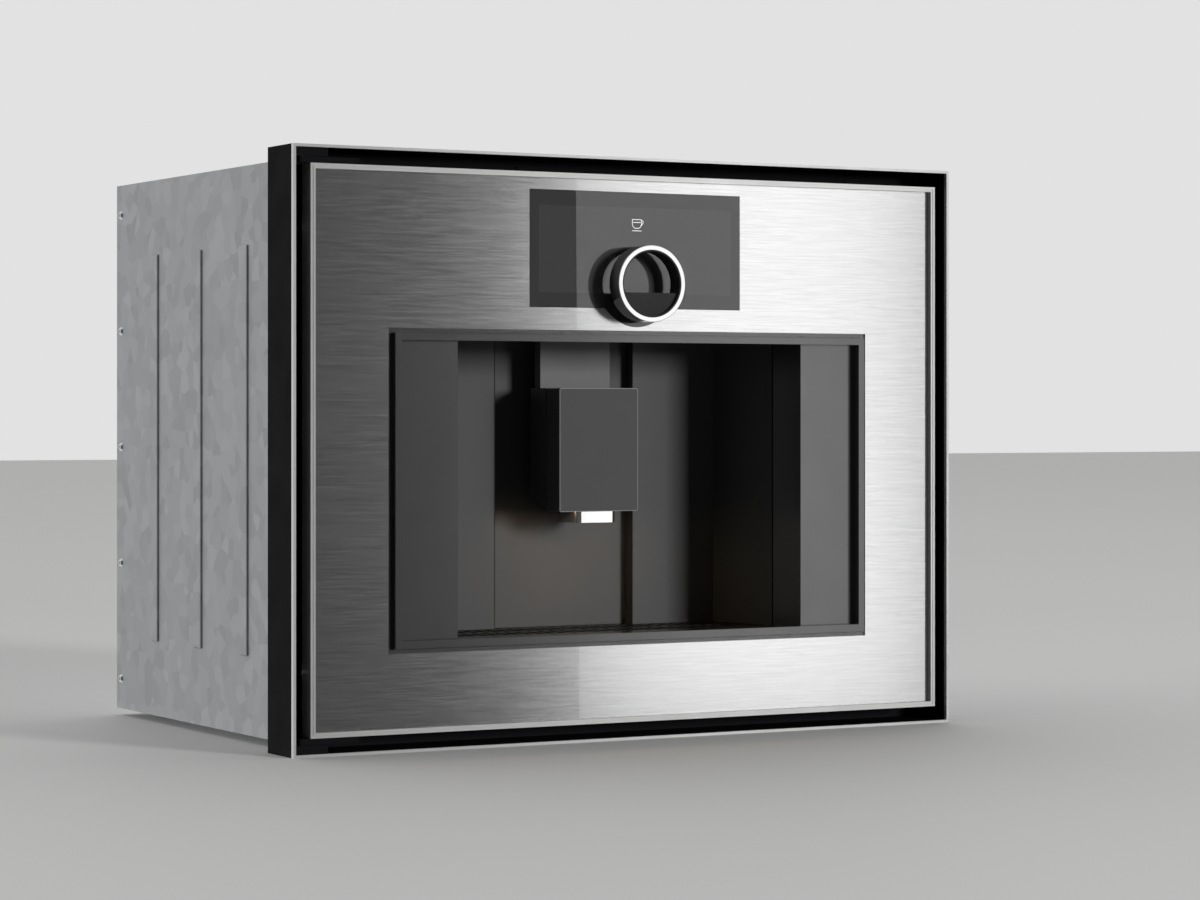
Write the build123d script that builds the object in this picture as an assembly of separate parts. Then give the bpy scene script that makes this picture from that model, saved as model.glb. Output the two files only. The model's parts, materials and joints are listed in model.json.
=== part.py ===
from build123d import *
import math
import os

# A built in coffee machine. Millimetres. X to the right, Y into the cabinet, Z up.
# Depths (d) are counted into the cabinet from the plane of the collar's front lip.

# ---- clearances
RUN_GAP = 0.05
REST_GAP = 0.3
SHEET_GAP = 0.4
SLIDE_GAP = 1.0
CUT = 1.0

# ---- collar: the fixed frame that stands proud of the cabinet front
COLLAR_W = 590.0
COLLAR_H = 455.0
COLLAR_WALL = 2.2
COLLAR_TRIM_DEPTH = 3.5
COLLAR_DEPTH = 47.0
FLANGE_T = 2.5
FLANGE_REACH = 18.0
FLANGE_REBATE = 0.5
CASE_SEAT = 3.2
BULKHEAD_T = 1.5

# ---- door: a framed glass panel on a vertical hinge at its left
TROUGH = 11.8
DOOR_BACK_GAP = 5.0
FRAME_FACE = 4.0
FRAME_DEPTH = 16.0
FRAME_LEDGE = 7.0
FRAME_LEDGE_T = 2.0
FRAME_WALL = 2.5
GROOVE_W = 0.6
GROOVE_DEEP = 0.6
GLASS_T = 4.0
GLASS_SET = 0.3
GLASS_GAP = 0.3
STEEL_T = 1.0
PAN_T = 1.5
HINGE_SET = 3.4
HINGE_OFF = 6.0
PIN_R = 1.75
HINGE_EYE_R = 3.2
ARM_LEN = 46.0
ARM_T = 4.7
BRACKET_W = 26.0
BRACKET_DEPTH = 12.0
MAGNET_W = 10.0
MAGNET_H = 20.0
MAGNET_GAP = 0.6

# ---- display and the board behind it
DISPLAY_W = 190.0
DISPLAY_H = 91.0
DISPLAY_DROP = 9.0
DISPLAY_T = 9.0
BOARD_T = 1.6
BOARD_BACK = 6.0
BOARD_SIDE = 6.0
BOARD_EDGE = 4.0
BOARD_POST_R = 2.5
BOARD_POST_IN = 6.0
SOCKET_X = 60.0
SOCKET_SIZE = 28.0
SOCKET_T = 5.0
SOCKET_RISE = 20.0
RELAYS = 6
RELAY_SIZE = 8.0
RELAY_T = 7.0
RELAY_PITCH = 18.0
RELAY_DROP = 8.0
SOLDER = 0.2

# ---- rotary knob
KNOB_RISE = 18.9
KNOB_R = 30.0
KNOB_FACE = 3.6
KNOB_LEN = 15.0
KNOB_GAP = 5.3
KNOB_CUT_R = 33.4
SLEEVE_T = 1.2
RIDGE = 0.5
PLUG_DROP = 7.0
PLUG_SET = 2.8
STEM_R = 8.0
STEM_GAP = 0.4

# ---- window in the door, and the bay behind it
WINDOW_SIDE = 75.0
WINDOW_BAND = 12.0
WINDOW_SILL = 83.7
TRIM_SIDE = 5.25
TRIM_TOP = 5.4
TRIM_FOOT = 5.9
TRIM_DEEP = 8.0
STEEL_CLEAR = 3.75
LINER_T = 2.0
LINER_EDGE = 5.0
TUNNEL_HIDE = 1.5
BAY_DRAW = 13.6
BAY_DEPTH = 122.0
BAY_RISE = 39.5
BAY_WALL = 2.0
RECESS_W = 128.0
RECESS_DEEP = 11.0

# ---- height adjustable coffee outlet
OUTLET_W = 72.0
OUTLET_H = 98.7
OUTLET_DROP = 35.2
OUTLET_FRONT = 64.0
COVER_DEEP = 23.0
REAR_DEEP = 26.0
REAR_RAISE = 4.7
SHELL_T = 2.0
EDGE_R = 1.0
REAR_R = 12.0
MAST_W = 64.0
MAST_T = 9.4
MAST_COVER = 6.3
NOZZLE_W = 36.0
NOZZLE_DEEP = 36.0
NOZZLE_SET = 4.0
NOZZLE_DROP = 8.9
NOZZLE_R = 4.0
NOZZLE_STEP = 1.0
SPOUT_R = 2.5
SPOUT_X = 9.0
LAMP_R = 4.0
LAMP_X = 27.0
LAMP_SET = 0.2
OUTLET_DOWN = 15.0
OUTLET_UP = 65.0
ROD_R = 4.0
ROD_X = 20.0
ROD_END = 10.0
CARRIAGE_W = 60.0
CARRIAGE_H = 36.0
CARRIAGE_T = 16.0
CARRIAGE_RISE = 18.0
CARRIAGE_ARM = 16.0
SLOT_GAP = 1.5

# ---- casing behind the collar
BODY_DEPTH = 402.7
CASE_DROP = 8.0
CASE_T = 1.2
FOOT_H = 6.0
FOOT_R = 12.0
FOOT_IN = 38.0
SCREW_R = 1.5
SCREW_HEAD_R = 3.4
SCREW_HEAD = 1.8
SCREW_X = (-222.4, -83.4, 83.4, 222.4)
MOUNT_HOLE_R = 2.25
MOUNT_SPACING_Z = 335.0
VENTS = 9
VENT_PITCH = 26.0
VENT_W = 14.0
VENT_LEN = 36.0
VENT_IN = 24.0
INLET_W = 28.0
INLET_H = 20.5
INLET_DEEP = 30.0
INLET_IN = 66.7
INLET_Z = 66.0
INLET_GAP = 0.2
INLET_EAR = 9.0
INLET_WALL = 2.0
INLET_MOUTH = 18.0
CONTACT_W = 2.0
CONTACT_H = 4.0
CONTACT_SET = 4.0
CONTACT_X = 7.0
CONTACT_LOW = 2.0
CONTACT_HIGH = 3.0

# ---- what slides out behind the open door
TRAY_SIDE_GAP = 2.65
TRAY_H = 29.2
TRAY_WALL = 2.0
TRAY_LEDGE = 3.0
GRID_T = 2.0
GRID_SLOT_W = 6.0
GRID_SLOT_LEN = 26.0
GRID_PITCH = 10.0
GRID_BAR = 8.0
GRID_EDGE = 12.0
COLUMN_GAP = 5.0
GROUNDS_W = 80.0
GROUNDS_H = 98.0
GROUNDS_DEEP = 197.0
GROUNDS_BOTTOM = 22.0
TANK_W = 100.0
TANK_H = 264.0
TANK_DEEP = 125.0
TANK_BOTTOM = 60.0
TANK_WALL = 2.5
TANK_IN = 11.0
TANK_SIDE_GAP = 8.8
LID_T = 6.0
GRIP_SIZE = 40.0
GRIP_IN = 20.0
SPIGOT_R = 5.0
SPIGOT_RISE = 20.0
DOCK_T = 8.0
DOCK_RISE = 15.0
HOPPER_W = 76.0
HOPPER_DEEP = 157.0
HOPPER_TOP_GAP = 4.8
HOPPER_MOUTH_R = 15.0
HOPPER_MOUTH_BACK = 35.0
NOTCH_W = 32.0
NOTCH_H = 18.0
SHELF_T = 2.0
STAND_T = 3.0
RUNNER_W = 8.0
RUNNER_IN = 8.0

# ---- grinder
GRINDER_R = 32.0
GRINDER_H = 117.7
GRINDER_GAP = 5.0
BURR_R = 24.0
BURR_T = 6.0
BURR_RISE = 66.0
BURR_TEETH = 8
TOOTH_R = 2.0
TOOTH_IN = 4.0
TOOTH_DEEP = 2.0
CHUTE_SIZE = 22.0
CHUTE_WALL = 2.0
CHUTE_DROP = 33.0
MOTOR_R = 26.0
MOTOR_H = 45.0
SHAFT_R = 4.0

# ---- brew unit
BREW_D = 225.0
BREW_W = 116.0
BREW_DEPTH = 90.0
BREW_PLATE_T = 8.0
BREW_SIDE_T = 3.0
BREW_FLOOR = 150.0
CHAMBER_R = 24.0
CHAMBER_WALL = 6.0
CHAMBER_H = 72.0
PISTON_H = 18.0
PISTON_LIFT = 2.0
PISTON_SKIN = 3.0
PISTON_TRAVEL = 36.0
NUT_R = 12.0
NUT_H = 48.0
NUT_HOLD = 14.0
NUT_ROOM = 32.0
SPINDLE_R = 6.0
BREW_MOTOR_R = 22.0
BREW_MOTOR_H = 50.0
MOTOR_SHELL = 3.0
ROTOR_GAP = 0.8

# ---- heater, pump and hoses
HEATER_W = 50.0
HEATER_DEPTH = 70.0
HEATER_H = 90.0
HEATER_RISE = 20.0
HEATER_PORT = 40.0
FINS = 6
FIN_FIRST = 10.0
FIN_PITCH = 14.0
FIN_SLOT = 4.0
FIN_DEEP = 8.0
PUMP_R = 22.0
PUMP_LEN = 50.0
PUMP_X = 30.0
PUMP_BACK = 60.0
PUMP_RISE = 36.0
PUMP_NECK_R = 12.0
PUMP_INLET = 24.0
PUMP_OUTLET = 18.0
PUMP_FOOT_IN = 6.0
PUMP_FOOT_DEPTH = 32.0
HOSE_R = 4.0
HOSE_RUN = 28.0

# ---- power board, fan and wiring
POWER_STAND = 14.0
POWER_FRONT = 44.0
POWER_BACK = 20.0
POWER_BOTTOM = 120.0
POWER_H = 260.0
POWER_POST_R = 3.5
POWER_POST_IN = 10.0
COILS = 4
COIL_FIRST = 30.0
COIL_PITCH = 52.0
COIL_T = 24.0
COIL_DEPTH = 36.0
COIL_H = 34.0
COIL_IN = 24.0
CAN_R = 9.0
CAN_LEN = 30.0
CAN_IN = 90.0
FAN_SIZE = 80.0
FAN_DEEP = 25.5
FAN_R = 36.0
FAN_X = -100.0
FAN_DROP = 65.8
FAN_STRUT = 4.0
FAN_HUB_R = 12.0
FAN_HUB_T = 9.0
FAN_ROTOR_R = 13.0
FAN_ROTOR_IN = 2.0
FAN_SHAFT_R = 2.0
FAN_SHAFT_END = 3.0
FAN_BLADES = 7
BLADE_T = 1.6
BLADE_ROOT = 11.0
BLADE_TIP_GAP = 3.0
BLADE_PITCH = 35.0
GUARD_RINGS = 3
GUARD_STEP = 10.0
GUARD_HOLE_R = 3.4
HARNESS_R = 3.0
HARNESS_BACK = 20.0
HARNESS_RISE = 40.0
HARNESS_OUT = 12.0
HARNESS_Z = 50.0

# ---- collar, door and display, worked out from the sizes above
KNOB_REACH = KNOB_GAP + KNOB_LEN
FRONT_Y = KNOB_REACH - (BODY_DEPTH + KNOB_REACH) / 2
INNER_W = COLLAR_W - 2 * COLLAR_WALL
INNER_TOP = COLLAR_H - COLLAR_WALL
FLANGE_D = COLLAR_DEPTH - FLANGE_T
FLANGE_HALF = INNER_W / 2 - FLANGE_REACH
BULKHEAD_D = FLANGE_D - BULKHEAD_T
DOOR_T = BULKHEAD_D - DOOR_BACK_GAP
DOOR_W = INNER_W - 2 * TROUGH
DOOR_BOTTOM = COLLAR_WALL + TROUGH
DOOR_TOP = INNER_TOP - TROUGH
HINGE_X = -DOOR_W / 2 - HINGE_OFF
STEEL_D = GLASS_SET + GLASS_T
LEDGE_D = STEEL_D + STEEL_T
PANEL_W = DOOR_W - 2 * FRAME_FACE - 2 * GLASS_GAP
PANEL_BOTTOM = DOOR_BOTTOM + FRAME_FACE + GLASS_GAP
PANEL_TOP = DOOR_TOP - FRAME_FACE - GLASS_GAP
DISPLAY_TOP = DOOR_TOP - FRAME_FACE - DISPLAY_DROP
DISPLAY_BOTTOM = DISPLAY_TOP - DISPLAY_H
DISPLAY_BACK = STEEL_D + DISPLAY_T
KNOB_Z = DISPLAY_BOTTOM + KNOB_RISE
KNOB_BORE = KNOB_R - KNOB_FACE
RIDGE_D = -KNOB_REACH + KNOB_LEN / 2
PLUG_TOP = KNOB_Z - PLUG_DROP
STEM_Z = PLUG_TOP - STEM_R - 2 * STEM_GAP

# ---- window and bay: the bay takes the width that the water tank leaves
WINDOW_W = DOOR_W - 2 * WINDOW_SIDE
WINDOW_TOP = KNOB_Z - KNOB_CUT_R - WINDOW_BAND
TUNNEL_SILL = WINDOW_SILL - TUNNEL_HIDE
TUNNEL_TOP = WINDOW_TOP + TUNNEL_HIDE
TUNNEL_END = BULKHEAD_D - REST_GAP
TANK_X = FLANGE_HALF - TANK_SIDE_GAP - TANK_W
BAY_HALF = TANK_X - TANK_IN
BAY_TOP = WINDOW_TOP + BAY_RISE
TRAY_TOP = TUNNEL_SILL - SLIDE_GAP
TRAY_BOTTOM = TRAY_TOP - TRAY_H
BAY_FLOOR = TRAY_TOP + REST_GAP
RECESS_BACK = BAY_DEPTH + RECESS_DEEP + BAY_WALL

# ---- outlet and its height guide
OUTLET_TOP = WINDOW_TOP - OUTLET_DROP
OUTLET_BOTTOM = OUTLET_TOP - OUTLET_H
OUTLET_SPLIT = OUTLET_FRONT + COVER_DEEP
OUTLET_BACK = OUTLET_SPLIT + REAR_DEEP
SPOUT_D = OUTLET_FRONT + COVER_DEEP / 2
MAST_TOP = BAY_TOP + OUTLET_DOWN + MAST_COVER
CARRIAGE_BOTTOM = OUTLET_BOTTOM + CARRIAGE_RISE
CARRIAGE_TOP = CARRIAGE_BOTTOM + CARRIAGE_H
ARM_BOTTOM = CARRIAGE_BOTTOM + CARRIAGE_H / 2 - CARRIAGE_ARM / 2
ARM_TOP = ARM_BOTTOM + CARRIAGE_ARM
CARRIAGE_D = RECESS_BACK + ROD_R
ROD_D = CARRIAGE_D + CARRIAGE_T / 2
ROD_LOW = CARRIAGE_BOTTOM - OUTLET_DOWN - 2 * SLOT_GAP
ROD_HIGH = CARRIAGE_TOP + OUTLET_UP + 2 * SLOT_GAP

# ---- casing and what stands in it
CASE_W = 2 * (FLANGE_HALF + CASE_SEAT)
CASE_TOP = COLLAR_H - CASE_DROP
CASE_D = COLLAR_DEPTH - FLANGE_REBATE
CASE_INNER = CASE_W / 2 - CASE_T
BASE_TOP = FOOT_H + CASE_T
LID_UNDER = CASE_TOP - CASE_T
REAR_D = BODY_DEPTH - CASE_T
INLET_X = -CASE_W / 2 + INLET_IN
COLUMN_X = -(BAY_HALF + COLUMN_GAP)
GROUNDS_TOP = GROUNDS_BOTTOM + GROUNDS_H
TANK_TOP = TANK_BOTTOM + TANK_H
TANK_BACK = BULKHEAD_D + TANK_DEEP
SPIGOT_Z = TANK_BOTTOM + SPIGOT_RISE
GRINDER_X = COLUMN_X - HOPPER_W / 2
GRINDER_D = BULKHEAD_D + HOPPER_DEEP - HOPPER_MOUTH_BACK
GRINDER_BOTTOM = GROUNDS_TOP + GRINDER_GAP + MOTOR_H
GRINDER_TOP = GRINDER_BOTTOM + GRINDER_H
BURR_Z = GRINDER_BOTTOM + BURR_RISE
CHUTE_Z = BURR_Z - CHUTE_DROP
SHELF_TOP = GRINDER_TOP + SHELF_T
HOPPER_BOTTOM = SHELF_TOP + REST_GAP
HOPPER_TOP = INNER_TOP - FLANGE_REACH - HOPPER_TOP_GAP
CHAMBER_Z = BREW_FLOOR + BREW_PLATE_T
PISTON_Z = CHAMBER_Z + CHAMBER_H + PISTON_LIFT
NUT_TOP = PISTON_Z + PISTON_H + NUT_H
BREW_TOP = NUT_TOP + NUT_ROOM
BREW_LID = BREW_TOP + BREW_PLATE_T
ROTOR_R = BREW_MOTOR_R - MOTOR_SHELL - ROTOR_GAP
ROTOR_BOTTOM = BREW_LID + MOTOR_SHELL + ROTOR_GAP
ROTOR_TOP = BREW_LID + BREW_MOTOR_H - MOTOR_SHELL - ROTOR_GAP
HEATER_Z = BREW_FLOOR + HEATER_RISE
PUMP_X0 = BREW_W / 2 + PUMP_X
PUMP_D = BREW_D + PUMP_BACK
PUMP_Z = BASE_TOP + PUMP_RISE
POWER_FACE = CASE_INNER - POWER_STAND - BOARD_T
POWER_D = TANK_BACK + POWER_FRONT
FAN_Z = LID_UNDER - FAN_DROP
FAN_HUB_D = REAR_D - FAN_HUB_T


def block(x0, x1, d0, d1, z0, z1):
    """A box between two sides, two depths and two heights."""
    centre = Pos((x0 + x1) / 2, FRONT_Y + (d0 + d1) / 2, (z0 + z1) / 2)
    return centre * Box(x1 - x0, d1 - d0, z1 - z0)


def wide(half, d0, d1, z0, z1):
    """A box centred on the machine's middle plane."""
    return block(-half, half, d0, d1, z0, z1)


def post(radius, x, d, z0, z1):
    """An upright cylinder."""
    return Pos(x, FRONT_Y + d, (z0 + z1) / 2) * Cylinder(radius, z1 - z0)


def barrel(radius, x, z, d0, d1):
    """A cylinder that points into the cabinet."""
    return Pos(x, FRONT_Y + (d0 + d1) / 2, z) * Rot(90, 0, 0) * Cylinder(radius, d1 - d0)


def axle(radius, x0, x1, d, z):
    """A cylinder that lies across the machine."""
    return Pos((x0 + x1) / 2, FRONT_Y + d, z) * Rot(0, 90, 0) * Cylinder(radius, x1 - x0)


def plan(points, z0, z1):
    """An upright prism whose plan is a polygon of (x, depth) corners."""
    corners = [(x, FRONT_Y + d) for x, d in points]
    return Pos(0, 0, z0) * extrude(make_face(Polyline(*corners, close=True)), amount=z1 - z0)


def tube(points, radius):
    """A hose along straight runs with round bends, from (x, depth, z) corners."""
    corners = [(x, FRONT_Y + d, z) for x, d, z in points]
    path = FilletPolyline(*corners, radius=3 * radius)
    return sweep(Plane(path @ 0, z_dir=path % 0) * Circle(radius), path=path)


def bay_half(d):
    """Half the bay's width at a depth: its sides draw in towards the back."""
    share = (d - TRIM_DEEP) / (BAY_DEPTH - TRIM_DEEP)
    return BAY_HALF - share * BAY_DRAW


def mount_points():
    """The four cabinet screws, in the trough beside the door."""
    x = INNER_W / 2 - TROUGH / 2
    middle = COLLAR_H / 2
    return [(sx * x, middle + sz * MOUNT_SPACING_Z / 2) for sx in (-1, 1) for sz in (-1, 1)]


def screw_points():
    """The screws that hold the bulkhead to the collar's flange."""
    low = COLLAR_WALL + FLANGE_REACH / 2
    high = INNER_TOP - FLANGE_REACH / 2
    return [(x, z) for x in SCREW_X for z in (low, high)]


# ---- collar and bulkhead


def collar_trim():
    ring = wide(COLLAR_W / 2, 0, COLLAR_TRIM_DEPTH, 0, COLLAR_H)
    return ring - wide(INNER_W / 2, -CUT, COLLAR_TRIM_DEPTH + CUT, COLLAR_WALL, INNER_TOP)


def collar_sleeve():
    """The black collar, with a rebate in its back that the casing seats in."""
    body = wide(COLLAR_W / 2, COLLAR_TRIM_DEPTH, COLLAR_DEPTH, 0, COLLAR_H)
    body -= wide(INNER_W / 2, 0, FLANGE_D, COLLAR_WALL, INNER_TOP)
    low = COLLAR_WALL + FLANGE_REACH
    body -= wide(FLANGE_HALF, 0, COLLAR_DEPTH + CUT, low, INNER_TOP - FLANGE_REACH)
    seat = (FOOT_H - SHEET_GAP, CASE_TOP + SHEET_GAP)
    body -= wide(CASE_W / 2 + SHEET_GAP, CASE_D, COLLAR_DEPTH + CUT, *seat)
    for x, z in mount_points():
        body -= barrel(MOUNT_HOLE_R, x, z, FLANGE_D - CUT, COLLAR_DEPTH + CUT)
    for x, z in screw_points():
        body -= barrel(SCREW_R, x, z, FLANGE_D - CUT, COLLAR_DEPTH + CUT)
    return body


def front_bulkhead():
    half = INNER_W / 2 - SHEET_GAP
    sheet = wide(half, BULKHEAD_D, FLANGE_D, COLLAR_WALL + SHEET_GAP, INNER_TOP - SHEET_GAP)
    d0 = BULKHEAD_D - CUT
    d1 = FLANGE_D + CUT
    sheet -= wide(bay_half(FLANGE_D), d0, d1, TRAY_BOTTOM - SLIDE_GAP, TUNNEL_TOP)
    for x0, x1, z0, z1 in (
        (COLUMN_X - GROUNDS_W, COLUMN_X, GROUNDS_BOTTOM, GROUNDS_TOP),
        (COLUMN_X - HOPPER_W, COLUMN_X, HOPPER_BOTTOM, HOPPER_TOP),
        (TANK_X, TANK_X + TANK_W, TANK_BOTTOM, TANK_TOP + LID_T),
    ):
        sheet -= block(x0 - SLIDE_GAP, x1 + SLIDE_GAP, d0, d1, z0 - SLIDE_GAP, z1 + SLIDE_GAP)
    for x, z in mount_points():
        sheet -= barrel(MOUNT_HOLE_R, x, z, d0, d1)
    for x, z in screw_points():
        sheet -= barrel(SCREW_R, x, z, d0, d1)
    return sheet


def casing_screws():
    screws = []
    for x, z in screw_points():
        head = barrel(SCREW_HEAD_R, x, z, BULKHEAD_D - SCREW_HEAD, BULKHEAD_D)
        screws.append(head + barrel(SCREW_R, x, z, BULKHEAD_D - SCREW_HEAD / 2, CASE_D))
    return Compound(children=screws)


def door_magnets():
    """Two magnets beside the tank that hold the door shut."""
    x = CASE_INNER - MAGNET_W
    d0 = DOOR_T + MAGNET_GAP
    magnets = []
    for z in (TANK_BOTTOM - 2 * MAGNET_H, TANK_TOP + LID_T + MAGNET_H):
        magnets.append(block(x - MAGNET_W, x, d0, BULKHEAD_D, z, z + MAGNET_H))
    return Compound(children=magnets)


# ---- casing


def base_pan():
    return wide(CASE_W / 2, CASE_D, BODY_DEPTH, FOOT_H, BASE_TOP)


def side_panel(side):
    x0, x1 = sorted((side * CASE_INNER, side * CASE_W / 2))
    return block(x0, x1, CASE_D, REAR_D, BASE_TOP, LID_UNDER)


def top_cover():
    cover = wide(CASE_W / 2, CASE_D, BODY_DEPTH, LID_UNDER, CASE_TOP)
    d1 = BODY_DEPTH - VENT_IN
    for k in range(VENTS):
        x = (k - (VENTS - 1) / 2) * VENT_PITCH
        vent = (x - VENT_W / 2, x + VENT_W / 2, d1 - VENT_LEN, d1)
        cover -= block(*vent, LID_UNDER - CUT, CASE_TOP + CUT)
    return cover


def rear_panel():
    """The back, with a ring pattern of holes before the fan and the inlet's cut-out."""
    panel = wide(CASE_W / 2, REAR_D, BODY_DEPTH, BASE_TOP, LID_UNDER)
    for ring in range(1, GUARD_RINGS + 1):
        for k in range(6 * ring):
            turn = 2 * math.pi * k / (6 * ring)
            x = FAN_X + GUARD_STEP * ring * math.cos(turn)
            z = FAN_Z + GUARD_STEP * ring * math.sin(turn)
            panel -= barrel(GUARD_HOLE_R, x, z, REAR_D - CUT, BODY_DEPTH + CUT)
    cut = (REAR_D - CUT, BODY_DEPTH + CUT, INLET_Z - INLET_H / 2, INLET_Z + INLET_H / 2)
    return panel - block(INLET_X - INLET_W / 2, INLET_X + INLET_W / 2, *cut)


def mains_inlet():
    """A socket with three flat contacts, held by two ears behind the back panel."""
    w = INLET_W / 2 - INLET_GAP
    h = INLET_H / 2 - INLET_GAP
    z0 = INLET_Z - h
    z1 = INLET_Z + h
    body = block(INLET_X - w, INLET_X + w, BODY_DEPTH - INLET_DEEP, BODY_DEPTH, z0, z1)
    ear = w + INLET_EAR
    body += block(INLET_X - ear, INLET_X + ear, REAR_D - INLET_WALL, REAR_D, z0, z1)
    half = w - INLET_WALL
    mouth_d = BODY_DEPTH - INLET_MOUTH
    mouth = (mouth_d, BODY_DEPTH + CUT, z0 + INLET_WALL, z1 - INLET_WALL)
    body -= block(INLET_X - half, INLET_X + half, *mouth)
    for dx, dz in ((-CONTACT_X, -CONTACT_LOW), (CONTACT_X, -CONTACT_LOW), (0, CONTACT_HIGH)):
        x = INLET_X + dx
        z = INLET_Z + dz
        contact = (mouth_d - CUT, BODY_DEPTH - CONTACT_SET, z - CONTACT_H / 2, z + CONTACT_H / 2)
        body += block(x - CONTACT_W / 2, x + CONTACT_W / 2, *contact)
    return body


def feet():
    pads = []
    for sx in (-1, 1):
        for d in (COLLAR_DEPTH + FOOT_IN, BODY_DEPTH - FOOT_IN):
            pads.append(post(FOOT_R, sx * (CASE_W / 2 - FOOT_IN), d, 0, FOOT_H))
    return Compound(children=pads)


# ---- bay


def bay_side_wall(side):
    inner0 = side * bay_half(FLANGE_D)
    inner1 = side * bay_half(BAY_DEPTH)
    wall = side * BAY_WALL
    points = [(inner0, FLANGE_D), (inner1, BAY_DEPTH)]
    points += [(inner1 + wall, BAY_DEPTH), (inner0 + wall, FLANGE_D)]
    return plan(points, BAY_FLOOR, BAY_TOP)


def bay_back_wall():
    """The back, stepped round a recess that is slotted for the outlet's carriage."""
    half = bay_half(BAY_DEPTH) + BAY_WALL
    r = RECESS_W / 2
    outer = r + BAY_WALL
    front = BAY_DEPTH
    back = front + RECESS_DEEP
    points = [(-half, front), (-r, front), (-r, back), (r, back), (r, front), (half, front)]
    points += [(half, front + BAY_WALL), (outer, front + BAY_WALL), (outer, RECESS_BACK)]
    points += [(-outer, RECESS_BACK), (-outer, front + BAY_WALL), (-half, front + BAY_WALL)]
    sheet = plan(points, BAY_FLOOR, BAY_TOP)
    half_slot = CARRIAGE_ARM / 2 + SLOT_GAP
    low = ARM_BOTTOM - OUTLET_DOWN - SLOT_GAP
    high = ARM_TOP + OUTLET_UP + SLOT_GAP
    return sheet - wide(half_slot, back - CUT, RECESS_BACK + CUT, low, high)


def bay_ceiling():
    half = bay_half(FLANGE_D) + BAY_WALL
    top = BAY_TOP + BAY_WALL
    plate = wide(half, FLANGE_D, RECESS_BACK, BAY_TOP, top)
    d0 = OUTLET_BACK - MAST_T - SLOT_GAP
    return plate - wide(MAST_W / 2 + SLOT_GAP, d0, OUTLET_BACK + SLOT_GAP, BAY_TOP - CUT, top + CUT)


def guide_rods():
    ends = (ROD_LOW - ROD_END, ROD_HIGH + ROD_END)
    return Compound(children=[post(ROD_R, sx * ROD_X, ROD_D, *ends) for sx in (-1, 1)])


def rod_brackets():
    brackets = []
    for z0 in (ROD_LOW - ROD_END, ROD_HIGH):
        z1 = z0 + ROD_END
        bracket = wide(CARRIAGE_W / 2, RECESS_BACK, ROD_D + 2 * ROD_R, z0, z1)
        for sx in (-1, 1):
            bracket -= post(ROD_R, sx * ROD_X, ROD_D, z0 - CUT, z1 + CUT)
        brackets.append(bracket)
    return Compound(children=brackets)


# ---- coffee outlet


def outlet_cover():
    half = OUTLET_W / 2
    shell = wide(half, OUTLET_FRONT, OUTLET_SPLIT, OUTLET_BOTTOM, OUTLET_TOP)
    shell = fillet(shell.faces().sort_by(Axis.Y)[0].edges(), EDGE_R)
    floor = OUTLET_BOTTOM + SHELL_T
    cavity = (OUTLET_FRONT + SHELL_T, OUTLET_SPLIT + CUT, floor, OUTLET_TOP - SHELL_T)
    shell -= wide(half - SHELL_T, *cavity)
    for sx in (-1, 1):
        shell -= post(LAMP_R, sx * LAMP_X, SPOUT_D, OUTLET_BOTTOM - CUT, floor + CUT)
        shell -= post(SPOUT_R, sx * SPOUT_X, SPOUT_D, OUTLET_BOTTOM - CUT, floor + CUT)
    return shell


def outlet_lamps():
    ends = (OUTLET_BOTTOM + LAMP_SET, OUTLET_BOTTOM + SHELL_T)
    return Compound(children=[post(LAMP_R, sx * LAMP_X, SPOUT_D, *ends) for sx in (-1, 1)])


def outlet_rear_housing():
    half = OUTLET_W / 2
    bottom = OUTLET_BOTTOM + REAR_RAISE
    shell = wide(half, OUTLET_SPLIT, OUTLET_BACK, bottom, OUTLET_TOP)
    heel = shell.faces().sort_by(Axis.Y)[-1].edges().sort_by(Axis.Z)[0]
    shell = fillet(heel, REAR_R)
    inside = (OUTLET_SPLIT - CUT, OUTLET_BACK - SHELL_T, bottom + SHELL_T, OUTLET_TOP - SHELL_T)
    cavity = wide(half - SHELL_T, *inside)
    inner_heel = cavity.faces().sort_by(Axis.Y)[-1].edges().sort_by(Axis.Z)[0]
    return shell - fillet(inner_heel, REAR_R - SHELL_T)


def outlet_mast():
    """The hollow mast, long enough to stay in the ceiling at the lowest setting."""
    d0 = OUTLET_BACK - MAST_T
    mast = wide(MAST_W / 2, d0, OUTLET_BACK, OUTLET_TOP, MAST_TOP)
    inside = (d0 + SHELL_T, OUTLET_BACK - SHELL_T, OUTLET_TOP - CUT, MAST_TOP - SHELL_T)
    return mast - wide(MAST_W / 2 - SHELL_T, *inside)


def nozzle_block():
    """The spout block under the outlet, stepped up behind to meet the rear housing."""
    d0 = OUTLET_FRONT + NOZZLE_SET
    d1 = d0 + NOZZLE_DEEP
    low = OUTLET_BOTTOM - NOZZLE_DROP
    head = wide(NOZZLE_W / 2, d0, d1, low, OUTLET_BOTTOM)
    head = fillet(head.edges().filter_by(Axis.Z), NOZZLE_R)
    step = (OUTLET_SPLIT + REST_GAP, d1 - NOZZLE_R, low + NOZZLE_STEP, OUTLET_BOTTOM + REAR_RAISE)
    head += wide(NOZZLE_W / 2 - NOZZLE_R, *step)
    for sx in (-1, 1):
        head -= post(SPOUT_R, sx * SPOUT_X, SPOUT_D, low - CUT, OUTLET_BOTTOM + CUT)
    return head


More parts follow.
